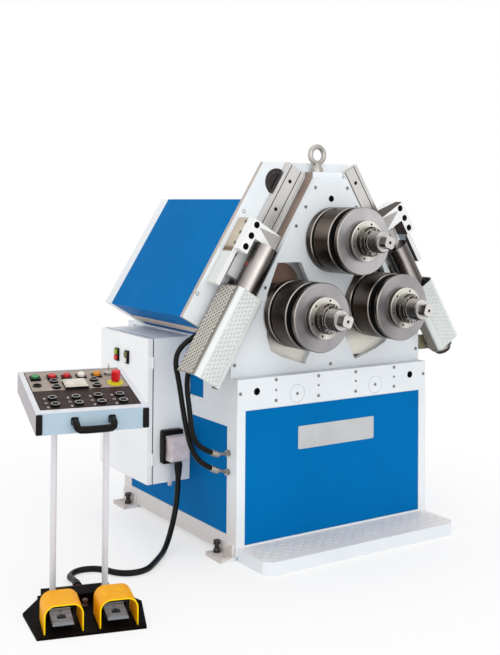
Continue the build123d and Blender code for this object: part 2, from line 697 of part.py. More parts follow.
guide_barrel = guide_rod(GUIDE_BARREL_R, GUIDE_AXIS_P, GUIDE_AXIS_Y, GUIDE_BARREL_END, GUIDE_BARREL_TOP)
guide_barrel += guide_block(RAIL_P0, 90, 150, RAIL_S0 - 10, GUIDE_AXIS_Y, GUIDE_PLATE_Y)
guide_barrel += block(-HALF_W - 115, -HALF_W, SLIDE_Y0 - 2, SLIDE_Y0 + 20, HEAD_KNEE_Z - 76, HEAD_KNEE_Z - 16)
cover_in = COVER_HALF - COVER_T
PORT_P = 104.0
PORT_Y = GUIDE_AXIS_Y + 55
PORT_L = 38.0
END_PORT = -88.0
ROD_PORT = 84.0
for clamp_s in (-80, 160):
    guide_barrel += guide_block(
        GUIDE_AXIS_P - cover_in,
        GUIDE_AXIS_P + cover_in,
        clamp_s,
        clamp_s + 15,
        GUIDE_AXIS_Y - cover_in + COVER_BEND,
        GUIDE_AXIS_Y + 20,
    )
    guide_barrel += guide_block(
        GUIDE_AXIS_P - cover_in + COVER_BEND,
        GUIDE_AXIS_P + cover_in - COVER_BEND,
        clamp_s,
        clamp_s + 15,
        GUIDE_AXIS_Y - cover_in,
        GUIDE_AXIS_Y,
    )
for port in (END_PORT, ROD_PORT):
    guide_barrel += guide_block(PORT_P - 16, PORT_P + 16, port, port + PORT_L, PORT_Y - 18, PORT_Y + 16)
guide_barrel -= guide_rod(GUIDE_ROD_R + RUN_FIT, GUIDE_AXIS_P, GUIDE_AXIS_Y, 60, GUIDE_BARREL_TOP)
nodes["guide_cylinders"] = group(guide_barrel, flip(guide_barrel))


def cover_section(half, bend, back):
    """Cross-section of a cover: flat front, two round bends and sides that run to the back."""
    width = back - GUIDE_AXIS_Y + half
    face = Pos(GUIDE_AXIS_P, back - width / 2) * Rectangle(2 * half, width)
    return fillet(face.vertices().group_by(Axis.Y)[0], bend)


def guide_cover(end):
    """Folded chequer sheet around a guide cylinder, open to the back and short on the inner side."""
    back = rail_y
    sheet = cover_section(COVER_HALF, COVER_BEND, back)
    sheet -= cover_section(COVER_HALF - COVER_T, COVER_BEND - COVER_T, back)
    plane = Plane(origin=guide_origin + guide_along * end, x_dir=guide_out, z_dir=-guide_along)
    cover = extrude(plane * sheet, amount=COVER_TOP - end, dir=guide_along)
    inner_side = guide_block(0, GUIDE_AXIS_P, end, COVER_TOP, GUIDE_AXIS_Y, back)
    return cover - inner_side


nodes["guide_covers"] = group(guide_cover(LEFT_COVER_END), flip(guide_cover(RIGHT_COVER_END)))

# Electrical cabinet
cab_x = -HALF_W - CAB_W
cabinet = block(cab_x, -HALF_W, CAB_Y0, CAB_Y1, CAB_Z0, CAB_Z1)
inside = (CAB_Y0 + SHEET_T, CAB_Y1 - SHEET_T, CAB_Z0 + SHEET_T, CAB_Z1 - SHEET_T)
cabinet -= block(cab_x, -HALF_W - SHEET_T, *inside)
mount_x = -HALF_W - 22
backplate = block(mount_x - 3, mount_x, CAB_Y0 + 25, CAB_Y1 - 25, CAB_Z0 + 30, CAB_Z1 - 30)
for boss_y in (CAB_Y0 + 50, CAB_Y1 - 50):
    for boss_z in (CAB_Z0 + 60, CAB_Z1 - 60):
        backplate += block(mount_x, -HALF_W - SHEET_T, boss_y - 8, boss_y + 8, boss_z - 8, boss_z + 8)
for row, deep in ((330, 70), (480, 80), (630, 55)):
    backplate += block(mount_x - 3 - deep, mount_x - 3, CAB_Y0 + 60, CAB_Y1 - 60, row - 40, row + 40)
hinge_x = cab_x - 3
hinge_y = CAB_Y0 - KNUCKLE_R - 0.5
HINGE_ZS = (330.0, 710.0)
KNUCKLE_L = 22.0
door_x0 = cab_x - DOOR_GAP - DOOR_T
door = block(door_x0, cab_x - DOOR_GAP, CAB_Y0, CAB_Y1, CAB_Z0, CAB_Z1)
door -= block(door_x0 + SHEET_T, cab_x - DOOR_GAP, *inside)
for hinge_z in HINGE_ZS:
    door += rod_z(KNUCKLE_R, hinge_x, hinge_y, hinge_z, hinge_z + KNUCKLE_L)
    door += block(hinge_x - 8, hinge_x, hinge_y, CAB_Y0 + SHEET_T, hinge_z, hinge_z + KNUCKLE_L)
    door -= rod_z(PIN_R + RUN_FIT, hinge_x, hinge_y, hinge_z, hinge_z + KNUCKLE_L)
    low = hinge_z - 1 - KNUCKLE_L
    cabinet += rod_z(KNUCKLE_R, hinge_x, hinge_y, low, hinge_z - 1)
    cabinet += block(hinge_x, cab_x + 6, hinge_y, CAB_Y0, low, hinge_z - 1)
    cabinet += rod_z(PIN_R, hinge_x, hinge_y, hinge_z - 1, hinge_z + KNUCKLE_L - 2)
nodes["cabinet_body"] = group(cabinet, backplate)

# Push buttons on the cabinet door
BEZEL_Y = (155.0, 65.0)
BEZEL_Z = 710.0
BEZEL_T = 8.0
HEAD_OUT = 9.0
HEAD_IN = 3.0
HEAD_Z = 12.0
bezels = []


def door_head(y, dz):
    """One push head in a door bezel."""
    x1 = door_x0 - HEAD_IN - 2
    return block(x1 - HEAD_OUT, x1, y - 10, y + 10, BEZEL_Z + dz - 9, BEZEL_Z + dz + 9)


for y in BEZEL_Y:
    bezel = block(door_x0 - BEZEL_T, door_x0, y - 15, y + 15, BEZEL_Z - 26, BEZEL_Z + 26)
    for dz in (-HEAD_Z, HEAD_Z):
        bezel -= block(door_x0 - BEZEL_T, door_x0, y - 10.5, y + 10.5, BEZEL_Z + dz - 9.5, BEZEL_Z + dz + 9.5)
    bezels.append(bezel)
lens_y = BEZEL_Y[1]
lens_z = BEZEL_Z - HEAD_Z
lens = block(door_x0 - 12, door_x0, lens_y - 10.5, lens_y + 10.5, lens_z - 9.5, lens_z + 9.5)
nodes["cabinet_door"] = group(door, *bezels, lens)
nodes["door_start_button"] = door_head(BEZEL_Y[0], HEAD_Z)
nodes["door_stop_button"] = door_head(BEZEL_Y[0], -HEAD_Z)
nodes["door_reset_button"] = door_head(BEZEL_Y[1], HEAD_Z)

# Plug connection on the cabinet's front
SOCKET_DEPTH = 25.0
SOCKET_X = -HALF_W - 90.5
SOCKET_HALF = 45.5
SOCKET_Z = 310.0
SOCKET_H = 131.0
PLUG_W = 74.0
PLUG_H = 96.0
PLUG_DEPTH = 55.0
plug_y = CAB_Y0 - SOCKET_DEPTH
plug_x = SOCKET_X + 4.5
plug_z = SOCKET_Z + 15
socket = block(SOCKET_X - SOCKET_HALF, SOCKET_X + SOCKET_HALF, plug_y, CAB_Y0, SOCKET_Z, SOCKET_Z + SOCKET_H)
nodes["connector_socket"] = fillet(socket.edges().filter_by(Axis.Y), 8)
plug = block(plug_x - PLUG_W / 2, plug_x + PLUG_W / 2, plug_y - PLUG_DEPTH, plug_y, plug_z, plug_z + PLUG_H)
plug = fillet(plug.edges().filter_by(Axis.X).group_by(Axis.Y)[0], PLUG_DEPTH / 4)
GLAND_X, GLAND_Y, GLAND_Z = SOCKET_X + 9.5, plug_y - 26, SOCKET_Z - 5
plug += rod_z(15, GLAND_X, GLAND_Y, GLAND_Z, plug_z + 1)
nodes["connector_plug"] = plug

# Stand with base plate, cable channel and two posts
stand_at = Pos(STAND_X, STAND_Y, 0) * Rot(0, 0, STAND_TURN)
console_at = Pos(STAND_X, STAND_Y, 0) * Rot(0, 0, CONSOLE_TURN)
stand_outline = [
    (-170, -312),
    (-195, -103),
    (-135, 10),
    (-135, 34),
    (135, 34),
    (135, 10),
    (195, -103),
    (170, -312),
]
stand = plate_xy(stand_outline, 0, STAND_T)
channel_top = STAND_T + CHANNEL_H
channel = block(CHANNEL_X0, CHANNEL_X1, CHANNEL_Y0, CHANNEL_Y1, STAND_T, channel_top)
channel -= block(CHANNEL_X0 + 3, CHANNEL_X1 - 3, CHANNEL_Y0 + 3, CHANNEL_Y1 - 3, STAND_T, channel_top - 3)
stand += channel
console_rise = (CONSOLE_REAR_TOP - CONSOLE_FRONT_TOP) / (CONSOLE_REAR - CONSOLE_FRONT)


def console_top(y):
    """Height of the console's sloping top at a depth."""
    return CONSOLE_FRONT_TOP + (y - CONSOLE_FRONT) * console_rise


def console_profile(y0, y1, drop_top, drop_bottom):
    """Side outline of the console between two depths below its sloping top."""
    return [
        (y0, console_top(y0) - drop_bottom),
        (y1, console_top(y1) - drop_bottom),
        (y1, console_top(y1) - drop_top),
        (y0, console_top(y0) - drop_top),
    ]


def console_slab(x0, x1, y0, y1, drop_top, drop_bottom):
    """Sloping slab of the console between two widths."""
    face = Plane.YZ.offset(x0) * Polygon(*console_profile(y0, y1, drop_top, drop_bottom), align=None)
    return extrude(face, amount=x1 - x0, dir=(1, 0, 0))


for side in (-1, 1):
    post = rod_z(POST_R, side * POST_X, 0, STAND_T, console_top(0) - CONSOLE_H + 20)
    post -= rod_z(POST_R - POST_T, side * POST_X, 0, STAND_T, console_top(0))
    stand -= rod_z(POST_R - 0.5, side * POST_X, 0, STAND_T + 1, channel_top)
    stand += post
console_box = console_slab(-CONSOLE_HALF, CONSOLE_HALF, CONSOLE_FRONT, CONSOLE_REAR, 0, CONSOLE_H)
stand -= Rot(0, 0, CONSOLE_TURN - STAND_TURN) * console_box
STAND_GLAND_R = 12.0
STAND_GLAND_L = 22.0
CABLE_END = (2.0, CHANNEL_Y1 + STAND_GLAND_L, STAND_T + CHANNEL_H / 2)
gland_mid = (CHANNEL_Y1 + CABLE_END[1]) / 2
stand += Pos(CABLE_END[0], gland_mid, CABLE_END[2]) * Rot(90, 0, 0) * Cylinder(STAND_GLAND_R, STAND_GLAND_L)
nodes["stand_frame"] = stand_at * stand

# Console housing
SHELL_T = 4.0
shell = console_box
edge_x = CONSOLE_HALF - SHELL_T
shell -= console_slab(
    -edge_x,
    edge_x,
    CONSOLE_FRONT + SHELL_T,
    CONSOLE_REAR - SHELL_T,
    SHELL_T + PANEL_T,
    CONSOLE_H - SHELL_T,
)
tilt = atan2(CONSOLE_REAR_TOP - CONSOLE_FRONT_TOP, CONSOLE_REAR - CONSOLE_FRONT)
mid_y = (CONSOLE_FRONT + CONSOLE_REAR) / 2
panel_at = Pos(0, mid_y, console_top(mid_y)) * Rot(degrees(tilt), 0, 0)
top_reach = (CONSOLE_REAR - CONSOLE_FRONT) / 2 / cos(tilt)
panel_y0 = PANEL_FRONT - top_reach
panel_y1 = top_reach - PANEL_REAR
shell -= panel_at * block(-PANEL_HALF, PANEL_HALF, panel_y0, panel_y1, -PANEL_T, 5)
nodes["console_housing"] = console_at * shell
panel_fit = 0.5
panel_x = PANEL_HALF - panel_fit
sheet = block(-panel_x, panel_x, panel_y0 + panel_fit, panel_y1 - panel_fit, -PANEL_T, 0)
nodes["console_panel"] = console_at * panel_at * sheet

# Handle and corner caps on the console's front
HANDLE_Z = 634.0
HANDLE_HALF = 72.0
handle = block(-HANDLE_HALF, HANDLE_HALF, CONSOLE_FRONT - 48, CONSOLE_FRONT - 30, HANDLE_Z - 30, HANDLE_Z - 8)
for side in (-1, 1):
    low, high = sorted((side * HANDLE_HALF, side * (HANDLE_HALF - 22)))
    leg = Plane.YZ.offset(low) * Polygon(
        (CONSOLE_FRONT, HANDLE_Z + 14),
        (CONSOLE_FRONT, HANDLE_Z - 12),
        (CONSOLE_FRONT - 40, HANDLE_Z - 30),
        (CONSOLE_FRONT - 48, HANDLE_Z - 8),
        (CONSOLE_FRONT - 20, HANDLE_Z + 14),
        align=None,
    )
    handle += extrude(leg, amount=high - low, dir=(1, 0, 0))
caps = []
for side in (-1, 1):
    low, high = sorted((side * CONSOLE_HALF, side * (CONSOLE_HALF - 20)))
    bottom = console_top(CONSOLE_FRONT) - CONSOLE_H
    caps.append(block(low, high, CONSOLE_FRONT - 3, CONSOLE_FRONT, bottom + 2, bottom + CONSOLE_H - 4))
nodes["console_fittings"] = console_at * group(handle, *caps)

# Controls on the console panel
KNOB_R = 14.5
KNOB_BORE = 11.3
CAP_R = 11.0
KNOB_H = 9.0
SQUARE_BEZEL = 17.0
PUSH_R = 13.0
PUSH_BORE = 13.4
ROW_Y = 107.0
PUSH_X = {"console_start_button": -138.0, "console_stop_button": -80.0}
LAMP_X = (-30.0, 21.0, 76.0)
KEY_XY = (119.0, 115.0)
STOP_XY = (126.0, 36.0)
PORT_XY = (-141.0, 47.0)
DISPLAY_X = (-54.0, 26.0)
DISPLAY_Y = (0.0, 66.0)
DISPLAY_H = 14.0
JOG_XY = {
    "roller_speed_up_button": (-80.0, 72.0),
    "roller_speed_down_button": (-80.0, 23.0),
    "program_forward_button": (58.0, 68.0),
    "program_back_button": (58.0, 19.0),
    "left_roll_up_button": (-113.0, -73.0),
    "left_roll_down_button": (-113.0, -127.0),
    "left_guide_up_button": (-35.0, -75.0),
    "left_guide_down_button": (-35.0, -126.0),
    "right_guide_up_button": (40.0, -74.0),
    "right_guide_down_button": (40.0, -126.0),
    "right_roll_up_button": (113.0, -75.0),
    "right_roll_down_button": (113.0, -128.0),
}


def panel_rod(radius, xy, z0, z1):
    """Cylinder standing on the console panel."""
    return Pos(xy[0], xy[1], (z0 + z1) / 2) * Cylinder(radius, z1 - z0)


def on_panel(shape):
    """Move a shape from the panel's frame to the machine's frame."""
    return console_at * panel_at * shape


fixed = []
for name, xy in JOG_XY.items():
    fixed.append(panel_rod(KNOB_R, xy, 0, KNOB_H) - panel_rod(KNOB_BORE, xy, 0, KNOB_H))
    nodes[name] = on_panel(panel_rod(CAP_R, xy, 3.5, KNOB_H - 2))
for name, x in PUSH_X.items():
    base_block = block(x - SQUARE_BEZEL, x + SQUARE_BEZEL, ROW_Y - SQUARE_BEZEL, ROW_Y + SQUARE_BEZEL, 0, 8)
    fixed.append(base_block - panel_rod(PUSH_BORE, (x, ROW_Y), 0, 8))
    nodes[name] = on_panel(panel_rod(PUSH_R, (x, ROW_Y), 4.5, 14))
for x in LAMP_X:
    lamp = block(x - SQUARE_BEZEL, x + SQUARE_BEZEL, ROW_Y - SQUARE_BEZEL, ROW_Y + SQUARE_BEZEL, 0, 5)
    dome = panel_rod(PUSH_R, (x, ROW_Y), 5, 17)
    fixed.append(lamp + fillet(dome.edges().group_by(Axis.Z)[-1], 6))
fixed.append(panel_rod(KNOB_R, PORT_XY, 0, 4) - panel_rod(9, PORT_XY, 1, 4))
fixed.append(panel_rod(28, STOP_XY, 0, 3) + panel_rod(16, STOP_XY, 3, 6.5) - panel_rod(11.4, STOP_XY, 0, 7))
fixed.append(panel_rod(KNOB_R, KEY_XY, 0, 10) - panel_rod(9.4, KEY_XY, 0, 10))
display = block(*DISPLAY_X, *DISPLAY_Y, 0, DISPLAY_H)
display = chamfer(display.edges().group_by(Axis.Z)[-1], 5)
fixed.append(display)
nodes["panel_indicators"] = on_panel(group(*fixed))
stop_head = panel_rod(15.5, STOP_XY, 12, 46)
stop_head = fillet(stop_head.edges().group_by(Axis.Z)[-1], 5)
nodes["emergency_stop"] = on_panel(stop_head + panel_rod(11, STOP_XY, 5.2, 12))
key_x, key_y = KEY_XY
key = block(key_x - 1.5, key_x + 1.5, key_y - 9, key_y + 9, 12, 42)
nodes["key_switch"] = on_panel(panel_rod(9, KEY_XY, 0.5, 12) + key)

# Pedals and their guards
def guard_arch(half, height, corner):
    """Outline of a guard's tunnel: straight legs, round shoulders and a flat crown."""
    face = Pos(0, height / 2) * Rectangle(2 * half, height)
    return fillet(face.vertices().group_by(Axis.Y)[-1], corner)


guards = []
for side in (-1, 1):
    arch = guard_arch(GUARD_HALF, GUARD_H, GUARD_CORNER)
    arch -= guard_arch(GUARD_HALF - GUARD_T, GUARD_H - GUARD_T, GUARD_CORNER - GUARD_T)
    plane = Plane(origin=(side * GUARD_X, GUARD_Y0, STAND_T), x_dir=(1, 0, 0), z_dir=(0, -1, 0))
    guards.append(extrude(plane * arch, amount=GUARD_Y1 - GUARD_Y0, dir=(0, 1, 0)))
nodes["pedal_guards"] = stand_at * group(*guards)

PEDAL_Y = -182.0
PEDAL_Z = 34.0
PEDAL_TILT = 4.0
BEARING_R = 8.0
for name, side in (("left_pedal", -1), ("right_pedal", 1)):
    tread = block(-PEDAL_HALF, PEDAL_HALF, -PEDAL_L, 0, -PEDAL_T / 2, PEDAL_T / 2)
    tread -= block(-14, 14, -62, -34, -PEDAL_T / 2, PEDAL_T / 2)
    tread = Rot(PEDAL_TILT, 0, 0) * tread
    hub = Rot(0, 90, 0) * Cylinder(BEARING_R, 2 * PEDAL_HALF)
    axle = Rot(0, 90, 0) * Cylinder(4, 2 * PEDAL_HALF)
    at = Pos(side * GUARD_X, PEDAL_Y, PEDAL_Z)
    nodes[name] = stand_at * at * (tread + hub - axle)
    for ear_side in (-1, 1):
        x0, x1 = sorted((ear_side * (PEDAL_HALF + 1), ear_side * (PEDAL_HALF + 7)))
        ear = at * (block(x0, x1, -9, 9, STAND_T - PEDAL_Z, 9))
        stand += ear
    stand += at * Rot(0, 90, 0) * Cylinder(4 - RUN_FIT, 2 * PEDAL_HALF + 4)
nodes["stand_frame"] = stand_at * stand


# Cords and their fittings
UPPER_SEAT = (-HALF_W, FRONT + 53, 394)
LOWER_SEAT = (-HALF_W, FRONT + 56, 322)


def cord_path(points):
    """Straight runs joined by tangent arcs, with the arc radius set by each corner."""
    vectors = [Vector(*p) for p in points]
    radii = []
    for before, corner, after in zip(vectors, vectors[1:], vectors[2:]):
        run = min((corner - before).length, (after - corner).length)
        turn = radians((corner - before).get_angle(after - corner))
        radii.append(0.45 * run / tan(turn / 2))
    return FilletPolyline(*points, radius=radii), min(radii)


def cord(points, radius):
    """Round cord along a route."""
    path, tightest = cord_path(points)
    tube = sweep(Plane(origin=path @ 0, z_dir=path % 0) * Circle(radius), path=path)
    print(f"cord r {radius}: length {path.length:.0f}, tightest bend {tightest:.0f}")
    return tube


def stand_point(x, y, z):
    """Machine coordinates of a point given in the stand's frame."""
    turn = radians(STAND_TURN)
    return (STAND_X + x * cos(turn) - y * sin(turn), STAND_Y + x * sin(turn) + y * cos(turn), z)


def beside_wall(out, depth, z):
    """Point left of the base's wall, a depth behind its front."""
    return (-HALF_W - out, FRONT + depth, z)


def guide_point(p, s, y):
    """Machine coordinates of a point given in the left guide's frame."""
    at = guide_origin + guide_out * p + guide_along * s
    return (at.X, y, at.Z)


UPPER_HOSE = [
    guide_point(106, -128, FRONT + 87),
    beside_wall(167, 84, 693),
    beside_wall(173, 76, 645),
    beside_wall(166, 65, 561),
    beside_wall(161, 57, 480),
    beside_wall(130, 54, 429),
    beside_wall(77, 53, 406),
]
LOWER_HOSE = [
    guide_point(108, 40, FRONT + 99),
    beside_wall(104, 116, 843),
    beside_wall(175, 128, 798),
    beside_wall(199, 124, 745),
    beside_wall(187, 113, 674),
    beside_wall(181, 97, 590),
    beside_wall(170, 83, 496),
    beside_wall(154, 70, 419),
    beside_wall(117, 61, 367),
    beside_wall(77, 56, 347),
]
CABLE = [
    (GLAND_X, GLAND_Y, GLAND_Z),
    (GLAND_X, GLAND_Y, GLAND_Z - 100),
    (GLAND_X - 24, GLAND_Y - 12, 101),
    (GLAND_X - 89, GLAND_Y - 65, CABLE_LIE),
    (GLAND_X - 180, GLAND_Y - 161, CABLE_LIE),
    (GLAND_X - 262, GLAND_Y - 235, CABLE_LIE),
    stand_point(172, 145, CABLE_LIE),
    stand_point(104, 229, CABLE_LIE),
    stand_point(29, 233, CABLE_LIE),
    stand_point(-15, 173, CABLE_LIE),
    stand_point(CABLE_END[0], 105, CABLE_END[2]),
    stand_point(*CABLE_END),
]


def hose_end(points, seat):
    """Crimp sleeve in line with a hose end, and the tube from it to its seat."""
    end, before = Vector(*points[0]), Vector(*points[1])
    run = (end - before).normalized()
    sleeve = rod_along(HOSE_R + 1.5, tuple(end), run, SLEEVE_L)
    neck = end + run * (SLEEVE_L - TUBE_R)
    to_seat = Vector(*seat) - neck
    return sleeve + rod_along(TUBE_R, tuple(neck), to_seat, to_seat.length)


def wall_union(seat):
    """Hex nut on the base's left wall around a tube's end."""
    x, y, z = seat
    hexagon = Plane(origin=(x - UNION_T, y, z), z_dir=(1, 0, 0)) * RegularPolygon(TUBE_R + 6, 6)
    return extrude(hexagon, amount=UNION_T)


side_wall = block(-HALF_W, 0, FRONT, -FRONT, BASE_BOTTOM, BASE_TOP)
fittings = []
for route, seat in ((UPPER_HOSE, UPPER_SEAT), (LOWER_HOSE, LOWER_SEAT)):
    fittings.append(hose_end(route[::-1], seat) + wall_union(seat) - side_wall)
for route, port in ((UPPER_HOSE, END_PORT), (LOWER_HOSE, ROD_PORT)):
    fittings.append(hose_end(route, guide_point(PORT_P, port, PORT_Y)) - guide_barrel)
nodes["hose_fittings"] = group(*fittings)
nodes["guide_hoses"] = group(cord(UPPER_HOSE, HOSE_R), cord(LOWER_HOSE, HOSE_R))
nodes["control_cable"] = cord(CABLE, CABLE_R)

for name, shape in nodes.items():
    box = shape.bounding_box()
    limits = [round(v) for pair in zip(box.min, box.max) for v in pair]
    print(name, round(shape.volume), len(shape.solids()), limits)
os.makedirs("parts", exist_ok=True)
for name, shape in nodes.items():
    export_step(shape, f"parts/{name}.step")
print(len(nodes), "nodes")
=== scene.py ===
"""Looks of the hydraulic roll bender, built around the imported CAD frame. Metres, Z up."""
from functools import partial
from math import atan2, cos, pi, radians, sin, tau

import bmesh
import bpy
from mathutils import Matrix, Vector


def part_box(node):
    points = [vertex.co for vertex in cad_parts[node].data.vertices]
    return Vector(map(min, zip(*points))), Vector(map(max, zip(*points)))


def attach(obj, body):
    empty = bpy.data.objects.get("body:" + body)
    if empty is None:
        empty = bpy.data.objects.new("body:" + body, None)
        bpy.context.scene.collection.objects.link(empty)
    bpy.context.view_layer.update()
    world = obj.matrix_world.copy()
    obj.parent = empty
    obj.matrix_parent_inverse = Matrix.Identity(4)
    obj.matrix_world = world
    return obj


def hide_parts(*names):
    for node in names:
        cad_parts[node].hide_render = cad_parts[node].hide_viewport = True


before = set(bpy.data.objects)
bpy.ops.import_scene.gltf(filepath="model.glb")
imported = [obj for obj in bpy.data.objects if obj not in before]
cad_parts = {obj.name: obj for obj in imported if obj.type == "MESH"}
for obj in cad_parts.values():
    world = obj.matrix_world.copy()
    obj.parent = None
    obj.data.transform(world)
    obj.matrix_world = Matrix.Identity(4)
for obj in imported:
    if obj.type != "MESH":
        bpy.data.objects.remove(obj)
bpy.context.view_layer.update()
scene = bpy.context.scene
ROOT = "machine"

# Camera, from the photograph's vanishing points
PHOTO_W, PHOTO_H = 500, 655
FOCAL_PX = 1023.74
CENTRE_PX = (248.17, 188.65)
CAMERA_AT = Vector((-2.551, -3.698, 1.3335))
YAW, PITCH, ROLL = radians(33.23), radians(0.90), radians(0.44)
SENSOR = 36.0


def add_camera():
    """Camera at the photograph's place, with its framing as lens shift."""
    ahead = Vector((sin(YAW) * cos(PITCH), cos(YAW) * cos(PITCH), sin(PITCH)))
    level = Vector((cos(YAW), -sin(YAW), 0))
    above = level.cross(ahead)
    right = cos(ROLL) * level + sin(ROLL) * above
    up = right.cross(ahead)
    data = bpy.data.cameras.new("camera")
    data.sensor_width = SENSOR
    data.lens = FOCAL_PX * SENSOR / PHOTO_H
    data.shift_x = (PHOTO_W / 2 - CENTRE_PX[0]) / PHOTO_H
    data.shift_y = (CENTRE_PX[1] - PHOTO_H / 2) / PHOTO_H
    camera = bpy.data.objects.new("camera", data)
    axes = Matrix((right, up, -ahead)).transposed()
    camera.matrix_world = Matrix.Translation(CAMERA_AT) @ axes.to_4x4()
    scene.collection.objects.link(camera)
    scene.camera = camera


add_camera()


# Frames of the slanted guides, the stand, the console and its panel


def axes_at(origin, x_axis, y_axis, z_axis):
    """Matrix of a frame from its origin and axes."""
    turn = Matrix((x_axis, y_axis, z_axis)).transposed().to_4x4()
    return Matrix.Translation(origin) @ turn


def shifted(at, x, y, z=0.0):
    """Frame moved along its own axes."""
    return at @ Matrix.Translation((x, y, z))


def out_of(origin, outward, up=(0, 0, 1)):
    """Frame on a surface, with Z leaving it."""
    z_axis = Vector(outward).normalized()
    x_axis = Vector(up).cross(z_axis)
    if x_axis.length < 1e-6:
        x_axis = Vector((1, 0, 0))
    x_axis.normalize()
    return axes_at(Vector(origin), x_axis, z_axis.cross(x_axis), z_axis)


HALF_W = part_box("head_front_plate")[1][0]
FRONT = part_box("lower_front_plate")[0][1]
HEAD_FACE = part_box("head_front_plate")[0][1]
KNEE_Z = 0.791
HEAD_TOP_HALF = 0.076
HEAD_TOP_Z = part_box("head_front_plate")[1][2]
SLANT = atan2(HEAD_TOP_Z - KNEE_Z, HALF_W - HEAD_TOP_HALF)
MIRROR = Matrix.Diagonal((-1, 1, 1, 1))
LEFT_GUIDE = axes_at(
    Vector((-HALF_W, 0, KNEE_Z)),
    Vector((-sin(SLANT), 0, cos(SLANT))),
    Vector((cos(SLANT), 0, sin(SLANT))),
    Vector((0, 1, 0)),
)
RIGHT_GUIDE = MIRROR @ LEFT_GUIDE
STAND_AT = Matrix.Translation((-1.112, -0.475, 0))
STAND_TURN = radians(-16)
CONSOLE_TURN = radians(-11.4)
PANEL_AT = (0, -0.010, 0.706)
PANEL_TILT = radians(12.291)
STAND = STAND_AT @ Matrix.Rotation(STAND_TURN, 4, "Z")
CONSOLE = STAND_AT @ Matrix.Rotation(CONSOLE_TURN, 4, "Z")
PANEL = shifted(CONSOLE, *PANEL_AT) @ Matrix.Rotation(PANEL_TILT, 4, "X")

# Cord routes, as in the part's source
HOSE_R = 0.010
CABLE_R = 0.011
CABLE_LOW = 0.0115
UPPER_HOSE = [
    tuple(LEFT_GUIDE @ Vector((0.106, -0.128, -0.378))),
    (-0.642, -0.381, 0.693),
    (-0.648, -0.389, 0.645),
    (-0.641, -0.400, 0.561),
    (-0.636, -0.408, 0.480),
    (-0.605, -0.411, 0.429),
    (-0.552, -0.412, 0.406),
]
LOWER_HOSE = [
    tuple(LEFT_GUIDE @ Vector((0.108, 0.040, -0.366))),
    (-0.579, -0.349, 0.843),
    (-0.650, -0.337, 0.798),
    (-0.674, -0.341, 0.745),
    (-0.662, -0.352, 0.674),
    (-0.656, -0.368, 0.590),
    (-0.645, -0.382, 0.496),
    (-0.629, -0.395, 0.419),
    (-0.592, -0.404, 0.367),
    (-0.552, -0.409, 0.347),
]
CABLE = [
    (-0.556, -0.166, 0.305),
    (-0.556, -0.166, 0.205),
    (-0.580, -0.178, 0.101),
    (-0.645, -0.231, CABLE_LOW),
    (-0.736, -0.327, CABLE_LOW),
    (-0.818, -0.401, CABLE_LOW),
]
CABLE_AT_STAND = [
    (0.172, 0.145, CABLE_LOW),
    (0.104, 0.229, CABLE_LOW),
    (0.029, 0.233, CABLE_LOW),
    (-0.015, 0.173, CABLE_LOW),
    (0.002, 0.105, 0.021),
    (0.002, 0.047, 0.021),
]
CABLE += [tuple(STAND @ Vector(place)) for place in CABLE_AT_STAND]


def cord(name, route, radius, node):
    """Round cord along its route's spline, in place of its CAD solid."""
    curve = bpy.data.curves.new(name, "CURVE")
    curve.dimensions = "3D"
    spline = curve.splines.new("NURBS")
    spline.points.add(len(route) - 1)
    for point, place in zip(spline.points, route):
        point.co = (*place, 1)
        point.radius = radius
    spline.order_u = 3
    spline.use_endpoint_u = True
    spline.resolution_u = 16
    curve.bevel_depth = 1.0
    curve.bevel_resolution = 5
    curve.use_fill_caps = True
    made = bpy.data.objects.new(name, curve)
    scene.collection.objects.link(made)
    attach(made, ROOT)
    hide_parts(node)
    return made


cords = [
    cord("upper_hose", UPPER_HOSE, HOSE_R, "guide_hoses"),
    cord("lower_hose", LOWER_HOSE, HOSE_R, "guide_hoses"),
    cord("pedal_cable", CABLE, CABLE_R, "control_cable"),
]


# Building blocks of materials


def linear(code):
    """Scene colour from a written sRGB code."""
    parts = [int(code[i : i + 2], 16) / 255 for i in (0, 2, 4)]
    return (*[p / 12.92 if p < 0.04045 else ((p + 0.055) / 1.055) ** 2.4 for p in parts], 1)


def scaled(colour, factor):
    """Colour made lighter or darker."""
    return (*[min(1, c * factor) for c in colour[:3]], 1)


class Graph:
    """Short calls for building a node tree."""

    def __init__(self, tree):
        self.tree = tree

    def node(self, kind, inputs=(), **settings):
        made = self.tree.nodes.new("ShaderNode" + kind)
        for key, value in settings.items():
            setattr(made, key, value)
        for socket, value in dict(inputs).items():
            self.feed(made.inputs[socket], value)
        return made

    def feed(self, socket, value):
        if isinstance(value, bpy.types.NodeSocket):
            self.tree.links.new(value, socket)
        else:
            socket.default_value = value

    def remap(self, value, low, high, to_low=0.0, to_high=1.0):
        made = self.node("MapRange", {0: value, 1: low, 2: high, 3: to_low, 4: to_high})
        return made.outputs[0]

    def math(self, operation, first, second):
        return self.node("Math", {0: first, 1: second}, operation=operation).outputs[0]

    def mix(self, share, first, second):
        made = self.node("Mix", {0: share, 6: first, 7: second}, data_type="RGBA")
        return made.outputs[2]

    def dot(self, first, second):
        made = self.node("VectorMath", {0: first, 1: second}, operation="DOT_PRODUCT")
        return made.outputs["Value"]

    def seen(self):
        """1 for what the camera or a reflection looks at, 0 for light that falls on the object."""
        rays = self.node("LightPath").outputs
        return self.math("MAXIMUM", rays["Is Camera Ray"], rays["Is Glossy Ray"])


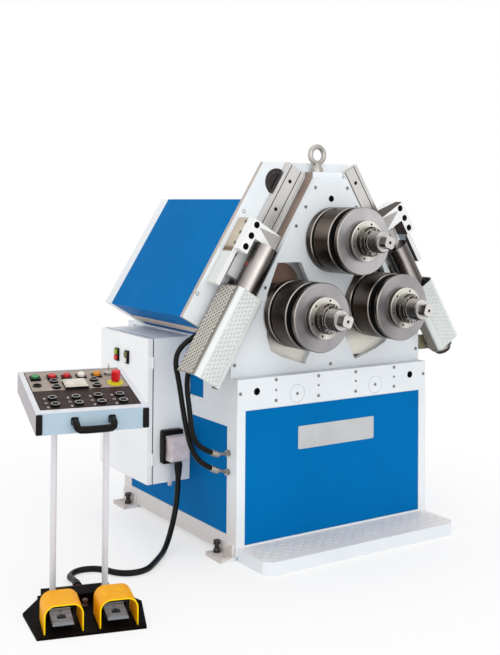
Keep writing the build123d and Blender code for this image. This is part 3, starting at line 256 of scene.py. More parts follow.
class Surface(Graph):
    """Node tree of a new material."""

    def __init__(self, name):
        self.material = bpy.data.materials.new(name)
        self.material.use_nodes = True
        super().__init__(self.material.node_tree)
        self.main = self.tree.nodes["Principled BSDF"]
        self.place = self.node("TexCoord").outputs["Object"]

    def noise(self, scale, detail=3, stretch=None):
        place = self.place
        if stretch:
            place = self.node("Mapping", {"Vector": place, "Scale": stretch}).outputs[0]
        return self.node("TexNoise", {"Vector": place, "Scale": scale, "Detail": detail}).outputs["Fac"]

    def along(self, direction, origin=(0, 0, 0)):
        """Distance along a direction from a point of the part's frame."""
        moved = self.node("VectorMath", {0: self.place, 1: origin}, operation="SUBTRACT").outputs[0]
        return self.dot(moved, direction)

    def facing(self, direction):
        """How far a surface faces along a direction of the part's frame, from -1 to 1."""
        return self.dot(self.node("TexCoord").outputs["Normal"], direction)

    def from_axis(self, x, z):
        """Distance from an axis along Y."""
        across = self.along((1, 0, 0), (x, 0, 0))
        high = self.along((0, 0, 1), (0, 0, z))
        squares = [self.math("MULTIPLY", way, way) for way in (across, high)]
        return self.math("POWER", self.math("ADD", *squares), 0.5)

    def edges(self, width):
        """Share of edge at a point, from how a rounded normal leaves the flat one."""
        soft = self.node("Bevel", {"Radius": width}, samples=4).outputs[0]
        flat = self.node("NewGeometry").outputs["Normal"]
        return self.remap(self.dot(soft, flat), 0.995, 0.85)

    def finish(self, colour, roughness, height, depth, bevel, metallic=0.0, **more):
        """Set the main shader from worked-out colour, roughness and surface height."""
        rounded = self.node("Bevel", {"Radius": bevel}, samples=4).outputs[0]
        bumped = self.node(
            "Bump", {"Strength": 1.0, "Distance": depth, "Height": height, "Normal": rounded}
        ).outputs[0]
        self.feed(self.main.inputs["Base Color"], colour)
        self.feed(self.main.inputs["Roughness"], roughness)
        self.feed(self.main.inputs["Metallic"], metallic)
        self.feed(self.main.inputs["Normal"], bumped)
        for socket, value in more.items():
            self.feed(self.main.inputs[socket.replace("_", " ")], value)
        return self.material


def paint(name, code, roughness=0.38, spread=0.05, worn="9A9488", wear=0.45, gloss=0.3, tint=None):
    """Sprayed enamel: faint patches, orange peel, rubbed edges and, where given, a tint by place."""
    g = Surface(name)
    base = linear(code)
    patches = g.remap(g.noise(2.3, 5), 0.3, 0.7)
    colour = g.mix(patches, scaled(base, 1 - spread), scaled(base, 1 + spread))
    if tint:
        colour = tint(g, colour)
    rubbed = g.math("MULTIPLY", g.edges(0.0022), g.remap(g.noise(60, 4), 0.48, 0.62, 0, wear))
    colour = g.mix(rubbed, colour, linear(worn))
    rough = g.remap(g.noise(18, 4), 0.3, 0.7, roughness - 0.06, roughness + 0.08)
    return g.finish(colour, rough, g.noise(420, 2), 0.00012, 0.0016, Specular_IOR_Level=gloss)


def metal(
    name,
    code,
    roughness=0.32,
    spread=0.12,
    stretch=None,
    metallic=1.0,
    worn="D8D6D2",
    rub=(0.0015, 0.6),
    tint=None,
):
    """Bare metal: brushed grain along a direction, stains and edges rubbed bright by width and share."""
    g = Surface(name)
    base = linear(code)
    grain = g.noise(260.0, 4, stretch)
    stains = g.remap(g.noise(9, 5), 0.35, 0.7)
    colour = g.mix(stains, scaled(base, 1 + spread), scaled(base, 1 - spread))
    if tint:
        colour = tint(g, colour)
    colour = g.mix(g.math("MULTIPLY", g.edges(rub[0]), rub[1]), colour, linear(worn))
    rough = g.remap(grain, 0.25, 0.75, roughness - 0.08, roughness + 0.12)
    return g.finish(colour, rough, grain, 0.00008, 0.0010, metallic)


TO_WINDOW = (-0.92, 0.0, 0.38)


def painted_glint(g, colour):
    """Painted highlight: pale streak along the side of a roll that looks to the window."""
    normal = g.node("NewGeometry").outputs["Normal"]
    aim = g.dot(normal, TO_WINDOW)
    return g.mix(g.remap(aim, 0.93, 1.0, 0.0, 0.45), colour, linear("A2968E"))


def painted_bands(g, turn, stops, colour, dark="1B1513"):
    """Painted reflection and shade: dark to bright colour by an angle, with a level at each of some
    degrees.
    """
    ramp = g.node("ValToRGB", {0: g.remap(turn, -pi, pi)})
    points = ramp.color_ramp.elements
    for angle, level in stops:
        points.new(0.5 + angle / 360).color = (level, level, level, 1)
    points.remove(points[0])
    points.remove(points[-1])
    return g.mix(ramp.outputs[0], linear(dark), colour)


def painted_reflection_streaks(side, up, stops):
    """Tint of round steel with painted reflections: bands along it by the way the surface turns from one
    side.
    """

    def tint(g, colour):
        normal = g.node("NewGeometry").outputs["Normal"]
        turn = g.math("ARCTAN2", g.dot(normal, up), g.dot(normal, side))
        return painted_bands(g, turn, stops, colour)

    return tint


def painted_fan(x, z, stops):
    """Tint of a turned face: painted wedges of reflection and shade around an axis along Y."""

    def tint(g, colour):
        turn = g.math("ARCTAN2", g.along((0, 0, 1), (0, 0, z)), g.along((1, 0, 0), (x, 0, 0)))
        return painted_bands(g, turn, stops, colour, "3A3433")

    return tint


LEFT = (-1, 0, 0)
AHEAD = (0, -1, 0)
ABOVE = (0, 0, 1)
# Levels of painted reflection bands on shafts, chamfers and barrels, and of painted wedges of reflection
# and shade on turned faces.
SHAFT_STOPS = ((-90, 0.3), (-60, 0.03), (12, 0.05), (42, 0.6), (80, 1.0), (165, 0.3))
EDGE_STOPS = ((-60, 0.4), (35, 1.0), (80, 0.6), (165, 0.4))
BARREL_STOPS = ((-60, 0.25), (0, 0.15), (18, 0.95), (40, 0.7), (70, 0.35), (110, 0.05))
SHAFT_BANDS = painted_reflection_streaks(LEFT, ABOVE, SHAFT_STOPS)
EDGE_BANDS = painted_reflection_streaks(LEFT, ABOVE, EDGE_STOPS)
BARREL_BANDS = painted_reflection_streaks(AHEAD, LEFT, BARREL_STOPS)
FACE_FAN = ((-179, 0.6), (-150, 0.35), (-100, 0.9), (0, 0.95), (130, 0.9), (179, 0.6))
FLANGE_FAN = ((-179, 0.25), (-125, 0.15), (-90, 0.95), (-35, 0.3), (60, 1.0), (140, 0.9), (179, 0.25))


def turned(name, code, x, z, roughness=0.3, spread=0.14):
    """Lathe-turned face: fine rings around an axis along Y, with stains and painted wedges of reflection
    and shade.
    """
    g = Surface(name)
    base = linear(code)
    radius = g.from_axis(x, z)
    rings = g.math("SINE", g.math("MULTIPLY", radius, 2600.0), 0.0)
    grain = g.math("ADD", g.math("MULTIPLY", rings, 0.3), g.math("MULTIPLY", g.noise(240, 3), 0.4))
    stains = g.remap(g.noise(11, 5), 0.3, 0.7)
    colour = g.mix(stains, scaled(base, 1 + spread), scaled(base, 1 - spread))
    colour = painted_fan(x, z, FACE_FAN)(g, colour)
    colour = g.mix(g.math("MULTIPLY", g.edges(0.0018), 0.7), colour, linear("E4E2DE"))
    rough = g.remap(grain, -0.1, 0.5, roughness - 0.06, roughness + 0.12)
    return g.finish(colour, rough, grain, 0.00006, 0.0012, 0.85)


def plastic(name, code, roughness=0.4, spread=0.10, gloss=0.4, worn="808080", tint=None):
    """Moulded plastic or rubber: fine grain, faint scuffs and paler edges."""
    g = Surface(name)
    base = linear(code)
    scuffs = g.remap(g.noise(35, 5), 0.42, 0.7)
    colour = g.mix(scuffs, scaled(base, 1 - spread), scaled(base, 1 + spread))
    if tint:
        colour = tint(g, colour)
    colour = g.mix(g.math("MULTIPLY", g.edges(0.0008), 0.25), colour, linear(worn))
    rough = g.remap(g.noise(50, 4), 0.3, 0.7, roughness - 0.07, roughness + 0.1)
    return g.finish(colour, rough, g.noise(900, 2), 0.00006, 0.0008, Specular_IOR_Level=gloss)


def dress(material, *names):
    """Give CAD nodes a material."""
    for name in names:
        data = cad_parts[name].data
        data.materials.clear()
        data.materials.append(material)


def zone(name, material, test):
    """Give a CAD node's faces another material where a test of their middle and normal holds."""
    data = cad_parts[name].data
    data.materials.append(material)
    index = len(data.materials) - 1
    for face in data.polygons:
        if test(face.center, face.normal):
            face.material_index = index


# Enamel on the frame, the head, the hood and the cabinet
SKIN = 0.001
FOOT_TOP = 0.045
STRIP_FRONT = -0.394
STRIP_BACK = -0.340
STRIP_FOOT = 0.8
DOOR_FACE = -0.6665
BEZEL_DEPTH = 0.0005
LENS_DEPTH = 0.0081
PLATE_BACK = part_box("hood_panels")[0][1]
PLATE_FACE = PLATE_BACK - 0.020
WHITE = "E6EBEF"


def painted_floor_shade(g, colour):
    """Painted shade: a warm darker tint on white enamel low over the floor."""
    return g.mix(g.remap(g.along(ABOVE), 0.02, 0.32, 0.6, 0.0), colour, linear("DCCBC0"))


def on_plate_edge(centre, normal):
    """Whether a face lies on the left edge of the head's guide plate."""
    return PLATE_FACE - SKIN < centre.y < PLATE_BACK + SKIN and normal.x < -0.5


def on_strip(centre, normal):
    """Whether a face lies on one of the head's slanted edge strips."""
    return STRIP_FRONT < centre.y < STRIP_BACK and abs(normal.x) > 0.5 and centre.z > STRIP_FOOT


white = paint("white_enamel", WHITE)
blue = paint("blue_enamel", "006DB0", roughness=0.42, spread=0.05, worn="5E93BA", wear=0.3, gloss=0.02)
dress(white, "base_frame", "step_platform", "hood_rear_frame")
dress(white, "head_housing", "lower_front_plate", "head_front_plate")
# The cabinet's paler copy of the white enamel is painted light against the shade under the hood.
dress(paint("cabinet_enamel_painted_light", "F2F4F6"), "cabinet_body", "cabinet_door")
dress(blue, "base_panels", "hood_panels")
# Beige on the guide plate's left edge face is painted shade on white enamel.
zone("head_housing", paint("plate_edge_painted_shade", "B9AEA4", roughness=0.45), on_plate_edge)
# Painted shade low over the floor on the frame's left-facing sides.
zone("base_frame", paint("frame_painted_shade", WHITE, tint=painted_floor_shade), lambda c, n: n.x < -0.5)
foot_tan = paint("foot_tan", "D2CBC6", roughness=0.5)
zone("base_frame", foot_tan, lambda c, n: c.z < FOOT_TOP and abs(c.x) > HALF_W + SKIN)
zone("head_housing", metal("strip_scale", "9A877B", roughness=0.5, metallic=0.2), on_strip)
zone("step_platform", paint("step_warm", "F0EBE6", roughness=0.45), lambda c, n: n.z > 0.9)
black_plastic = plastic("black_plastic", "121011", roughness=0.36, gloss=0.12)
lens_white = plastic("lens_white", "E6E4DC", roughness=0.25)
zone("cabinet_door", black_plastic, lambda c, n: c.x < DOOR_FACE - BEZEL_DEPTH)
zone("cabinet_door", lens_white, lambda c, n: c.x < DOOR_FACE - LENS_DEPTH)

# Steel of the rolls, shafts and slides
ROLL_AXES = {"upper": (0.0, 1.195), "left": (-0.199, 0.910), "right": (0.199, 0.930)}
# The lower rolls' darker face code is painted shade.
FACE_CODES = {"upper": "C6C3C5", "left": "ABA8AA", "right": "ABA8AA"}
RING_FACE = -0.627
FLANGE_FACE = -0.650
RING_DEPTH = 0.022
NUT_STEP = -0.6714
GROOVE_R = 0.1275
CHAMFER_R = 0.1285
FLANGE_R = 0.0745
FLANGE_HOLES_R = (0.060, 0.0735)
ALONG_ROLL = (1, 30, 1)


def rim(name, code, roughness, worn, edge):
    """Rim with its grain along the roll, a painted highlight streak and bright edge lines that are
    painted highlights.
    """
    return metal(name, code, roughness, stretch=ALONG_ROLL, worn=worn, rub=(edge, 0.8), tint=painted_glint)


def painted_reflection_steel(name, code, roughness, worn, rub):
    """Steel with the painted reflection bands of a shaft."""
    return metal(name, code, roughness, worn=worn, rub=rub, tint=SHAFT_BANDS)


# The rims' dark codes are painted dark reflection on steel.
rim_dark = rim("roll_rim_painted_reflection", "35281F", 0.30, "B4ADA6", 0.004)
rim_turned = rim("roll_rim_turned", "5E5550", 0.26, "E2DED8", 0.003)
nut_dark = painted_reflection_steel("nut_painted_reflection", "B4AEA7", 0.32, "C8C0B8", (0.002, 0.6))
nose_steel = painted_reflection_steel("nose_painted_reflection", "D2CEC9", 0.24, "E8E5E0", (0.0015, 0.7))
thread_grey = painted_reflection_steel("thread_cut", "9E9792", 0.28, "E4E0DB", (0.0012, 0.5))
nose_face = metal("nose_face", "D0CDCB", roughness=0.3, metallic=0.5)
# Bands on the ring chamfers are painted reflections.
rim_edge = metal("rim_edge", "B4ACA6", roughness=0.28, metallic=0.9, tint=EDGE_BANDS)
groove_shade = metal("groove_shade", "0D0A09", roughness=0.6, metallic=0.3)
shaft_bright = metal("shaft_ground", "B2AEAC", roughness=0.24, stretch=(1, 12, 1))
# The dark side of the flange is painted shade.
flange_side = metal("flange_side_painted_shade", "5A524C", roughness=0.3, worn="D8D3CB", rub=(0.002, 0.8))
hole_dark = metal("hole_shade", "171413", roughness=0.7, metallic=0.3)


def in_holes(places, reach, face):
    """Test for the faces inside some holes behind a front face."""

    def test(centre, normal):
        near = any(Vector((centre.x - x, centre.z - z)).length < reach for x, z in places)
        return near and centre.y > face + SKIN / 2

    return test


ACCESSORY_HOLES = ((-0.386, 0.626), (0.386, 0.626))
HEAD_HOLE = ((0, 1.360),)
zone("lower_front_plate", hole_dark, in_holes(ACCESSORY_HOLES, 0.0142, FRONT))
zone("head_front_plate", hole_dark, in_holes(HEAD_HOLE, 0.0135, HEAD_FACE))


def dress_roll(name):
    """Rims dark with painted reflection, turned faces and cream flange with painted reflection and
    shade, shaded grooves and holes, and slotted nut of one roll set.
    """
    node = f"{name}_roll_set"
    shaft = f"{name}_roll_shaft"
    x, z = ROLL_AXES[name]
    face = turned(f"{name}_roll_face", FACE_CODES[name], x, z)
    fan = painted_fan(x, z, FLANGE_FAN)
    flange_cream = metal(f"{name}_flange", "E2E0D6", roughness=0.34, metallic=0.6, tint=fan)

    def off_axis(centre):
        return Vector((centre.x - x, centre.z - z)).length

    def on_front_face(centre, normal):
        return normal.y < -0.8 and abs(centre.y - RING_FACE) < SKIN

    def in_groove(centre, normal):
        return centre.y > RING_FACE + 2 * SKIN and off_axis(centre) < GROOVE_R

    def on_flange_side(centre, normal):
        return normal.y > -0.5 and centre.y < RING_FACE - SKIN and off_axis(centre) > FLANGE_R

    def in_flange_hole(centre, normal):
        deep = FLANGE_FACE + SKIN / 2 < centre.y < RING_FACE - SKIN
        return deep and FLANGE_HOLES_R[0] < off_axis(centre) < FLANGE_HOLES_R[1]

    def on_chamfer(centre, normal):
        return off_axis(centre) > CHAMFER_R and 0.3 < abs(normal.y) < 0.95

    dress(rim_dark, node)
    zone(node, rim_turned, lambda c, n: RING_FACE < c.y < RING_FACE + RING_DEPTH)
    zone(node, face, on_front_face)
    zone(node, groove_shade, in_groove)
    zone(node, flange_cream, lambda c, n: FLANGE_FACE - SKIN < c.y < RING_FACE - SKIN)
    zone(node, flange_side, on_flange_side)
    zone(node, hole_dark, in_flange_hole)
    zone(node, nut_dark, lambda c, n: NUT_STEP - SKIN < c.y < FLANGE_FACE - SKIN)
    zone(node, nose_steel, lambda c, n: c.y < NUT_STEP - 2 * SKIN)
    dress(nose_steel, shaft)
    zone(shaft, nose_face, lambda c, n: n.y < -0.8)
    zone(node, rim_edge, on_chamfer)


for roll in ROLL_AXES:
    dress_roll(roll)


def painted_shade_above(g, colour):
    """Painted shade: darker on the upper part of a slide, with a ragged edge."""
    shade_height = g.math("ADD", g.along(ABOVE), g.math("MULTIPLY", g.noise(14, 4), 0.06))
    return g.mix(g.remap(shade_height, 0.80, 0.90), colour, linear("5A4843"))


slide_steel = metal("slide_ground", "EEEBE0", 0.45, metallic=0.1, spread=0.06, tint=painted_shade_above)
dress(slide_steel, "left_roll_slide", "right_roll_slide", "upper_roll_drive")
dress(metal("cylinder_grey", "7E7B78", roughness=0.4), "roll_cylinders")
dress(paint("unit_grey", "5C6066", roughness=0.45), "hydraulic_unit")

# Side guides
GUIDE_MIDDLE = 0.070
RAIL_GROOVES = (0.044, 0.096)
RAIL_GROOVE_REACH = 0.0025
RAIL_HOLE_REACH = 0.009
RAIL_CUT_DEPTH = 0.0135
BARREL_Y = -0.435
BARREL_END = -0.114
ROD_REACH = 0.023
LUG_X = 0.5895
LUG_FRONT = -0.3965
LUG_BACK = -0.373
LUG_TOP = 0.776
HOLE_OUT = 0.163
HOLE_TOP = 0.446
HOLE_PITCH = 0.0475
HOLE_R = 0.0138
SLAB_FRONT = 0.409
BLOCK_BACK = -0.384
SEAM_S = 0.322
RIGHT_LIFT = 0.078


def in_guide(centre):
    """Point's distances out from, along and behind the head edge on its own side."""
    side = LEFT_GUIDE if centre.x < 0 else RIGHT_GUIDE
    return side.inverted() @ centre


# Bright and dark bands along the barrels are painted reflections.
dress(metal("barrel_chrome", "C4BDBA", roughness=0.26, tint=BARREL_BANDS), "guide_cylinders")
end_brown = metal("barrel_end", "4B3B3C", roughness=0.4, metallic=0.6)
zone("guide_cylinders", end_brown, lambda c, n: in_guide(c).y < BARREL_END + SKIN)


def on_lug(centre, normal):
    """Whether a face belongs to one of the cylinders' lower lugs."""
    return abs(centre.x) < LUG_X and LUG_FRONT < centre.y < LUG_BACK and centre.z < LUG_TOP


zone("guide_cylinders", paint("lug_olive", "8C8768", roughness=0.5), on_lug)
dress(metal("rail_ground", "D6D4D1", roughness=0.28, spread=0.05, stretch=(14, 1, 8)), "guide_rails")
RAIL_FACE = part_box("guide_rails")[0][1]


def in_rail_cut(centre, normal):
    """Whether a face lies in one of the rail's grooves or holes."""
    out = in_guide(centre).x
    in_groove = min(abs(out - groove) for groove in RAIL_GROOVES) < RAIL_GROOVE_REACH
    in_hole = abs(out - GUIDE_MIDDLE) < RAIL_HOLE_REACH
    return (in_groove or in_hole) and RAIL_FACE + SKIN < centre.y < RAIL_FACE + RAIL_CUT_DEPTH


zone("guide_rails", hole_dark, in_rail_cut)
carriage_white = paint("carriage_enamel", "ECEEED", worn="8F887C", wear=0.6)
carriage_dark = metal("carriage_painted_shade", "382B28", roughness=0.5, metallic=0.1)
GUIDES = {"left": (LEFT_GUIDE, 0.0), "right": (RIGHT_GUIDE, RIGHT_LIFT)}


def raw_above(guide, seam):
    """Tint of a carriage's outer side: raw above a seam, enamel below it, and a brown band of painted
    shadow just above the seam.
    """

    def tint(g, colour):
        run = g.along(guide.col[1].xyz, guide.translation)
        shadowed = g.mix(g.remap(run, seam + 0.022, seam + 0.006), colour, linear("6E5642"))
        return g.mix(g.remap(run, seam - 0.002, seam - 0.010), shadowed, linear("DCDFDB"))

    return tint


def dress_carriage(side, guide, lift):
    """White front, raw outer side, dark holes and bright rod of one carriage."""
    name = f"{side}_guide_carriage"
    holes = [Vector((HOLE_OUT, HOLE_TOP + lift - HOLE_PITCH * k)) for k in range(3)]
    raw = raw_above(guide, SEAM_S + lift)
    carriage_tan = metal(f"{name}_raw", "C2B6A4", roughness=0.46, metallic=0.2, spread=0.16, tint=raw)

    def in_hole(centre, normal):
        at = in_guide(centre).xy
        return normal.y > -0.5 and any((at - hole).length < HOLE_R for hole in holes)

    def on_rod(centre, normal):
        across = abs(in_guide(centre).x - GUIDE_MIDDLE)
        return across < ROD_REACH and abs(centre.y - BARREL_Y) < ROD_REACH

    dress(carriage_white, name)
    zone(name, carriage_tan, lambda c, n: abs(n.x) > 0.6 and abs(c.y) < SLAB_FRONT)
    zone(name, hole_dark, in_hole)
    zone(name, shaft_bright, on_rod)


def on_block_inside(centre, normal):
    """Whether a face looks up or inward on the right carriage's block."""
    inward = abs(normal.y) < 0.5 and normal.x < -0.6
    return (normal.z > 0.6 or inward) and centre.y < BLOCK_BACK


for side, (guide, lift) in GUIDES.items():
    dress_carriage(side, guide, lift)
# Upward and inward faces of the right carriage's block get painted shade.
zone("right_guide_carriage", carriage_dark, on_block_inside)


def painted_bend_light(g, colour):
    """Painted highlight on a cover's bend and painted shade on its brown-grey outer side."""
    aside = g.node("Math", {0: g.facing((1, 0, 0))}, operation="ABSOLUTE").outputs[0]
    bent = g.mix(g.remap(aside, 0.03, 0.14), colour, linear("DCE0DF"))
    return g.mix(g.remap(aside, 0.68, 0.82), bent, linear("7C766C"))


cover_sheet = metal("cover_sheet", "C9D0CC", roughness=0.42, metallic=0.2, spread=0.06, tint=painted_bend_light)
dress(cover_sheet, "guide_covers")

# Feet, eye, fittings, connector and stand
dress(metal("foot_black", "232020", roughness=0.5, metallic=0.4), "levelling_feet")
dress(metal("eye_forged", "B2ADA7", roughness=0.3), "lifting_eye")
zinc = metal("zinc_plate", "8C8883", roughness=0.24, worn="F2F0EC", rub=(0.003, 0.9))
dress(zinc, "hose_fittings")
dress(black_plastic, "connector_socket")
plug_grey = plastic("plug_plastic", "D6CBCF", roughness=0.42)
dress(plug_grey, "connector_plug")
PLUG_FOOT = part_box("connector_plug")[0][2] + 0.0195
zone("connector_plug", black_plastic, lambda c, n: c.z < PLUG_FOOT)
dress(paint("stand_dark", "0C0706", roughness=0.55, worn="4A3F3B", wear=0.3, gloss=0.02), "stand_frame")
to_stand = STAND.inverted()
POST_X = 0.088
POST_REACH = 0.0125
POST_FOOT = 0.0345
CHANNEL_FRONT = 0.02
CHANNEL_LOW = 0.03


def on_post(centre, normal):
    """Whether a face belongs to one of the stand's posts."""
    at = to_stand @ centre
    beside = abs(abs(at.x) - POST_X)
    return abs(at.y) < POST_REACH and beside < POST_REACH and centre.z > POST_FOOT


def on_channel(centre, normal):
    """Whether a face lies on top of the stand's cable channel."""
    return normal.z > 0.9 and (to_stand @ centre).y > CHANNEL_FRONT and centre.z > CHANNEL_LOW


zone("stand_frame", paint("post_pale", "DCDADF", roughness=0.34), on_post)
guard_yellow = plastic("guard_moulded", "FFB000", roughness=0.4, spread=0.05, gloss=0.08, worn="FFD040")
guard_front_painted_light = plastic("guard_front_painted_light", "FFD400", roughness=0.4, spread=0.04, gloss=0.08, worn="FFE060")
dress(guard_yellow, "pedal_guards")
# Brighter yellow on the guards' front faces is painted light.
zone("pedal_guards", guard_front_painted_light, lambda c, n: (to_stand.to_3x3() @ n).y < -0.9)
# Brown on the channel's top faces is a painted sheen on the dark stand.
zone("stand_frame", paint("stand_top_painted_sheen", "3A221B", roughness=0.5, gloss=0.05), on_channel)
pedal_grey = metal("pedal_cast", "9AA3AD", roughness=0.4, metallic=0.6)
dress(pedal_grey, "left_pedal", "right_pedal")

# Console and its controls
UPRIGHT = (1, 1, 40)
LEVEL = (40, 1, 1)


def sheet(name, code, stretch, spread=0.05):
    """Brushed sheet of the console."""
    return metal(name, code, roughness=0.42, metallic=0.25, spread=spread, stretch=stretch)


console_front = sheet("console_front", "A6BBCA", LEVEL)
console_side_painted_shade = sheet("console_side_painted_shade", "AFAAAE", UPRIGHT, spread=0.07)
dress(sheet("console_sheet", "DDDDE2", UPRIGHT), "console_housing")
to_console = CONSOLE.inverted().to_3x3()
zone("console_housing", console_front, lambda c, n: (to_console @ n).y < -0.9)
# Darker side faces of the console sheet are painted shade.
zone("console_housing", console_side_painted_shade, lambda c, n: abs((to_console @ n).x) > 0.9)
to_panel = PANEL.inverted()
PANEL_SPLIT = 0.001
SPLIT_BLUR = 0.0008


def two_tone(g, colour):
    """Taupe at the back of the panel, dark brown at its front."""
    back = g.along(PANEL.col[1].xyz, PANEL.translation)
    share = g.remap(back, PANEL_SPLIT - SPLIT_BLUR, PANEL_SPLIT + SPLIT_BLUR)
    return g.mix(share, colour, linear("A6998E"))


panel_foil = plastic("panel_foil", "382A27", roughness=0.5, spread=0.06, gloss=0.12, tint=two_tone)
dress(panel_foil, "console_panel")
jog_black = plastic("jog_plastic", "0E0C0D", roughness=0.4, gloss=0.1)
chrome = metal("rim_chrome", "A9A7A6", roughness=0.2)
bezel_dark = plastic("bezel_plastic", "161213", roughness=0.4, gloss=0.1)
ROW_Y = 0.107
LAMPS = {-0.030: "C9202A", 0.021: "EAE6DE", 0.076: "D98A1C"}
STOP_AT = Vector((0.126, 0.036))
KEY_AT = Vector((0.119, 0.115))
DISPLAY = ((-0.054, 0.026), (0.0, 0.066))
RING_R = 0.0155
DISC_R = 0.029
LENS_R = 0.0135
LENS_Z = 0.0052
DISPLAY_Z = 0.0095
JOGS = {
    "roller_speed": ((-0.080, 0.072), (-0.080, 0.023)),
    "program": ((0.058, 0.068), (0.058, 0.019)),
    "left_roll": ((-0.113, -0.073), (-0.113, -0.127)),
    "left_guide": ((-0.035, -0.075), (-0.035, -0.126)),
    "right_guide": ((0.040, -0.074), (0.040, -0.126)),
    "right_roll": ((0.113, -0.075), (0.113, -0.128)),
}
jog_places = [Vector(place) for pair in JOGS.values() for place in pair]


def near_panel(centre, place, reach):
    """Whether a point lies within a reach of a place on the panel."""
    return ((to_panel @ centre).xy - place).length < reach


def on_ring_wall(centre, normal):
    """Whether a face lies on the outer wall of a jog button's ring."""
    at, out = (to_panel @ centre).xy, (to_panel.to_3x3() @ normal).xy
    place = min(jog_places, key=lambda spot: (at - spot).length)
    return (at - place).length < RING_R and out.dot(at - place) > 0 and out.length > 0.8


def on_display(centre):
    """Whether a point belongs to the display block."""
    at = to_panel @ centre
    (x0, x1), (y0, y1) = DISPLAY
    return x0 - SKIN < at.x < x1 + SKIN and y0 - SKIN < at.y < y1 + SKIN


def on_lens(lamp_x):
    """Test for the faces of one lamp's lens."""
    place = Vector((lamp_x, ROW_Y))
    return lambda c, n: near_panel(c, place, LENS_R) and (to_panel @ c).z > LENS_Z


dress(bezel_dark, "panel_indicators")
zone("panel_indicators", chrome, lambda c, n: any(near_panel(c, place, RING_R) for place in jog_places))
zone("panel_indicators", chrome, lambda c, n: near_panel(c, KEY_AT, RING_R))
zone("panel_indicators", jog_black, on_ring_wall)
disc_yellow = plastic("disc_yellow", "D8CC20", gloss=0.2)
zone("panel_indicators", disc_yellow, lambda c, n: near_panel(c, STOP_AT, DISC_R))
for lamp_x, code in LAMPS.items():
    lens = plastic(f"lamp_{code.lower()}", code, roughness=0.18)
    zone("panel_indicators", lens, on_lens(lamp_x))
display_pale = plastic("display_pale", "CFC6BA", roughness=0.3)
zone("panel_indicators", display_pale, lambda c, n: on_display(c) and (to_panel @ c).z > DISPLAY_Z)
red = plastic("red_knob", "D3181F", roughness=0.3)
dress(red, "emergency_stop", "door_stop_button", "console_stop_button")
dress(plastic("green_knob", "2E8A4B", roughness=0.32), "console_start_button")
dress(plastic("lime_knob", "9CB32A", roughness=0.34), "door_start_button")
dress(plastic("olive_knob", "6E6A3C", roughness=0.38), "door_reset_button")
ENDINGS = ("_up_button", "_down_button", "_forward_button", "_back_button")
dress(jog_black, *[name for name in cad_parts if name.endswith(ENDINGS)])
key_nickel = metal("key_nickel", "BDB7AE", roughness=0.28)
dress(key_nickel, "key_switch")
rubber = plastic("cord_rubber", "0C0D0B", roughness=0.36, gloss=0.16, worn="3A3A38")
for soft in cords:
    soft.data.materials.append(rubber)


# Building blocks of detail pieces


def ring_of(bm, at, radius, height, sides):
    """Ring of points around a frame's Z axis."""
    angles = [tau * i / sides for i in range(sides)]
    return [bm.verts.new(at @ Vector((radius * cos(a), radius * sin(a), height))) for a in angles]


def skin(bm, rings):
    """Closed skin over a row of rings."""
    for low, high in zip(rings, rings[1:]):
        for i in range(len(low)):
            j = (i + 1) % len(low)
            bm.faces.new((low[i], low[j], high[j], high[i]))
    bm.faces.new(rings[0][::-1])
    bm.faces.new(rings[-1])


def lathe(bm, at, profile, sides=24):
    """Turned solid from pairs of radius and height."""
    skin(bm, [ring_of(bm, at, radius, height, sides) for radius, height in profile])


def prism(bm, at, outline, low, high, inset=0.0):
    """Flat solid over an outline, with its top edge drawn in towards the middle."""
    middle = sum((Vector(p) for p in outline), Vector((0, 0))) / len(outline)

    def level(height, pull):
        points = []
        for p in outline:
            towards = middle - Vector(p)
            points.append(Vector(p) + towards.normalized() * pull)
        return [bm.verts.new(at @ Vector((p.x, p.y, height))) for p in points]

    rings = [level(low, 0), level(high - inset, 0)]
    if inset:
        rings.append(level(high, inset))
    skin(bm, rings)


def square(x0, x1, y0, y1):
    """Outline of a rectangle."""
    return [(x0, y0), (x1, y0), (x1, y1), (x0, y1)]


def rounded(x0, x1, y0, y1, corner, steps=4):
    """Outline of a rectangle with round corners."""
    points = []
    for cx, cy, start in (
        (x1 - corner, y1 - corner, 0),
        (x0 + corner, y1 - corner, 1),
        (x0 + corner, y0 + corner, 2),
        (x1 - corner, y0 + corner, 3),
    ):
        for step in range(steps + 1):
            angle = tau / 4 * (start + step / steps)
            points.append((cx + corner * cos(angle), cy + corner * sin(angle)))
    return points


def sweep(bm, path, wide, high, sides=16):
    """Soft-cornered bar along a path of points."""
    rings = []
    side = Vector((1, 0, 0))
    for i, place in enumerate(path):
        run = (path[min(i + 1, len(path) - 1)] - path[max(i - 1, 0)]).normalized()
        side = side - run * side.dot(run)
        if side.length < 0.2:
            side = Vector(ABOVE).cross(run)
        side.normalize()
        over = run.cross(side)
        ring = []
        for k in range(sides):
            a = tau * k / sides
            across = wide * abs(cos(a)) ** 0.6 * (1 if cos(a) > 0 else -1)
            rise = high * abs(sin(a)) ** 0.6 * (1 if sin(a) > 0 else -1)
            ring.append(bm.verts.new(place + side * across + over * rise))
        rings.append(ring)
    skin(bm, rings)


def socket_screw(bm, at, radius, height=0.003):
    """Round screw head with a sunk socket."""
    shape = ((0.5, 0.1), (0.5, 1), (0.86, 1), (1, 0.7), (1, 0))
    lathe(bm, at, [(radius * wide, height * high) for wide, high in shape], 12)


def lozenge(bm, at, length, width, height):
    """Raised bar of chequer sheet that runs out to points."""
    base = [(-0.5, 0), (-0.22, -0.5), (0.22, -0.5), (0.5, 0), (0.22, 0.5), (-0.22, 0.5)]
    low = [bm.verts.new(at @ Vector((x * length, y * width, 0))) for x, y in base]
    top = [bm.verts.new(at @ Vector((x * length * 0.72, y * width * 0.5, height))) for x, y in base]
    skin(bm, [low, top])


BAR_H = 0.0012


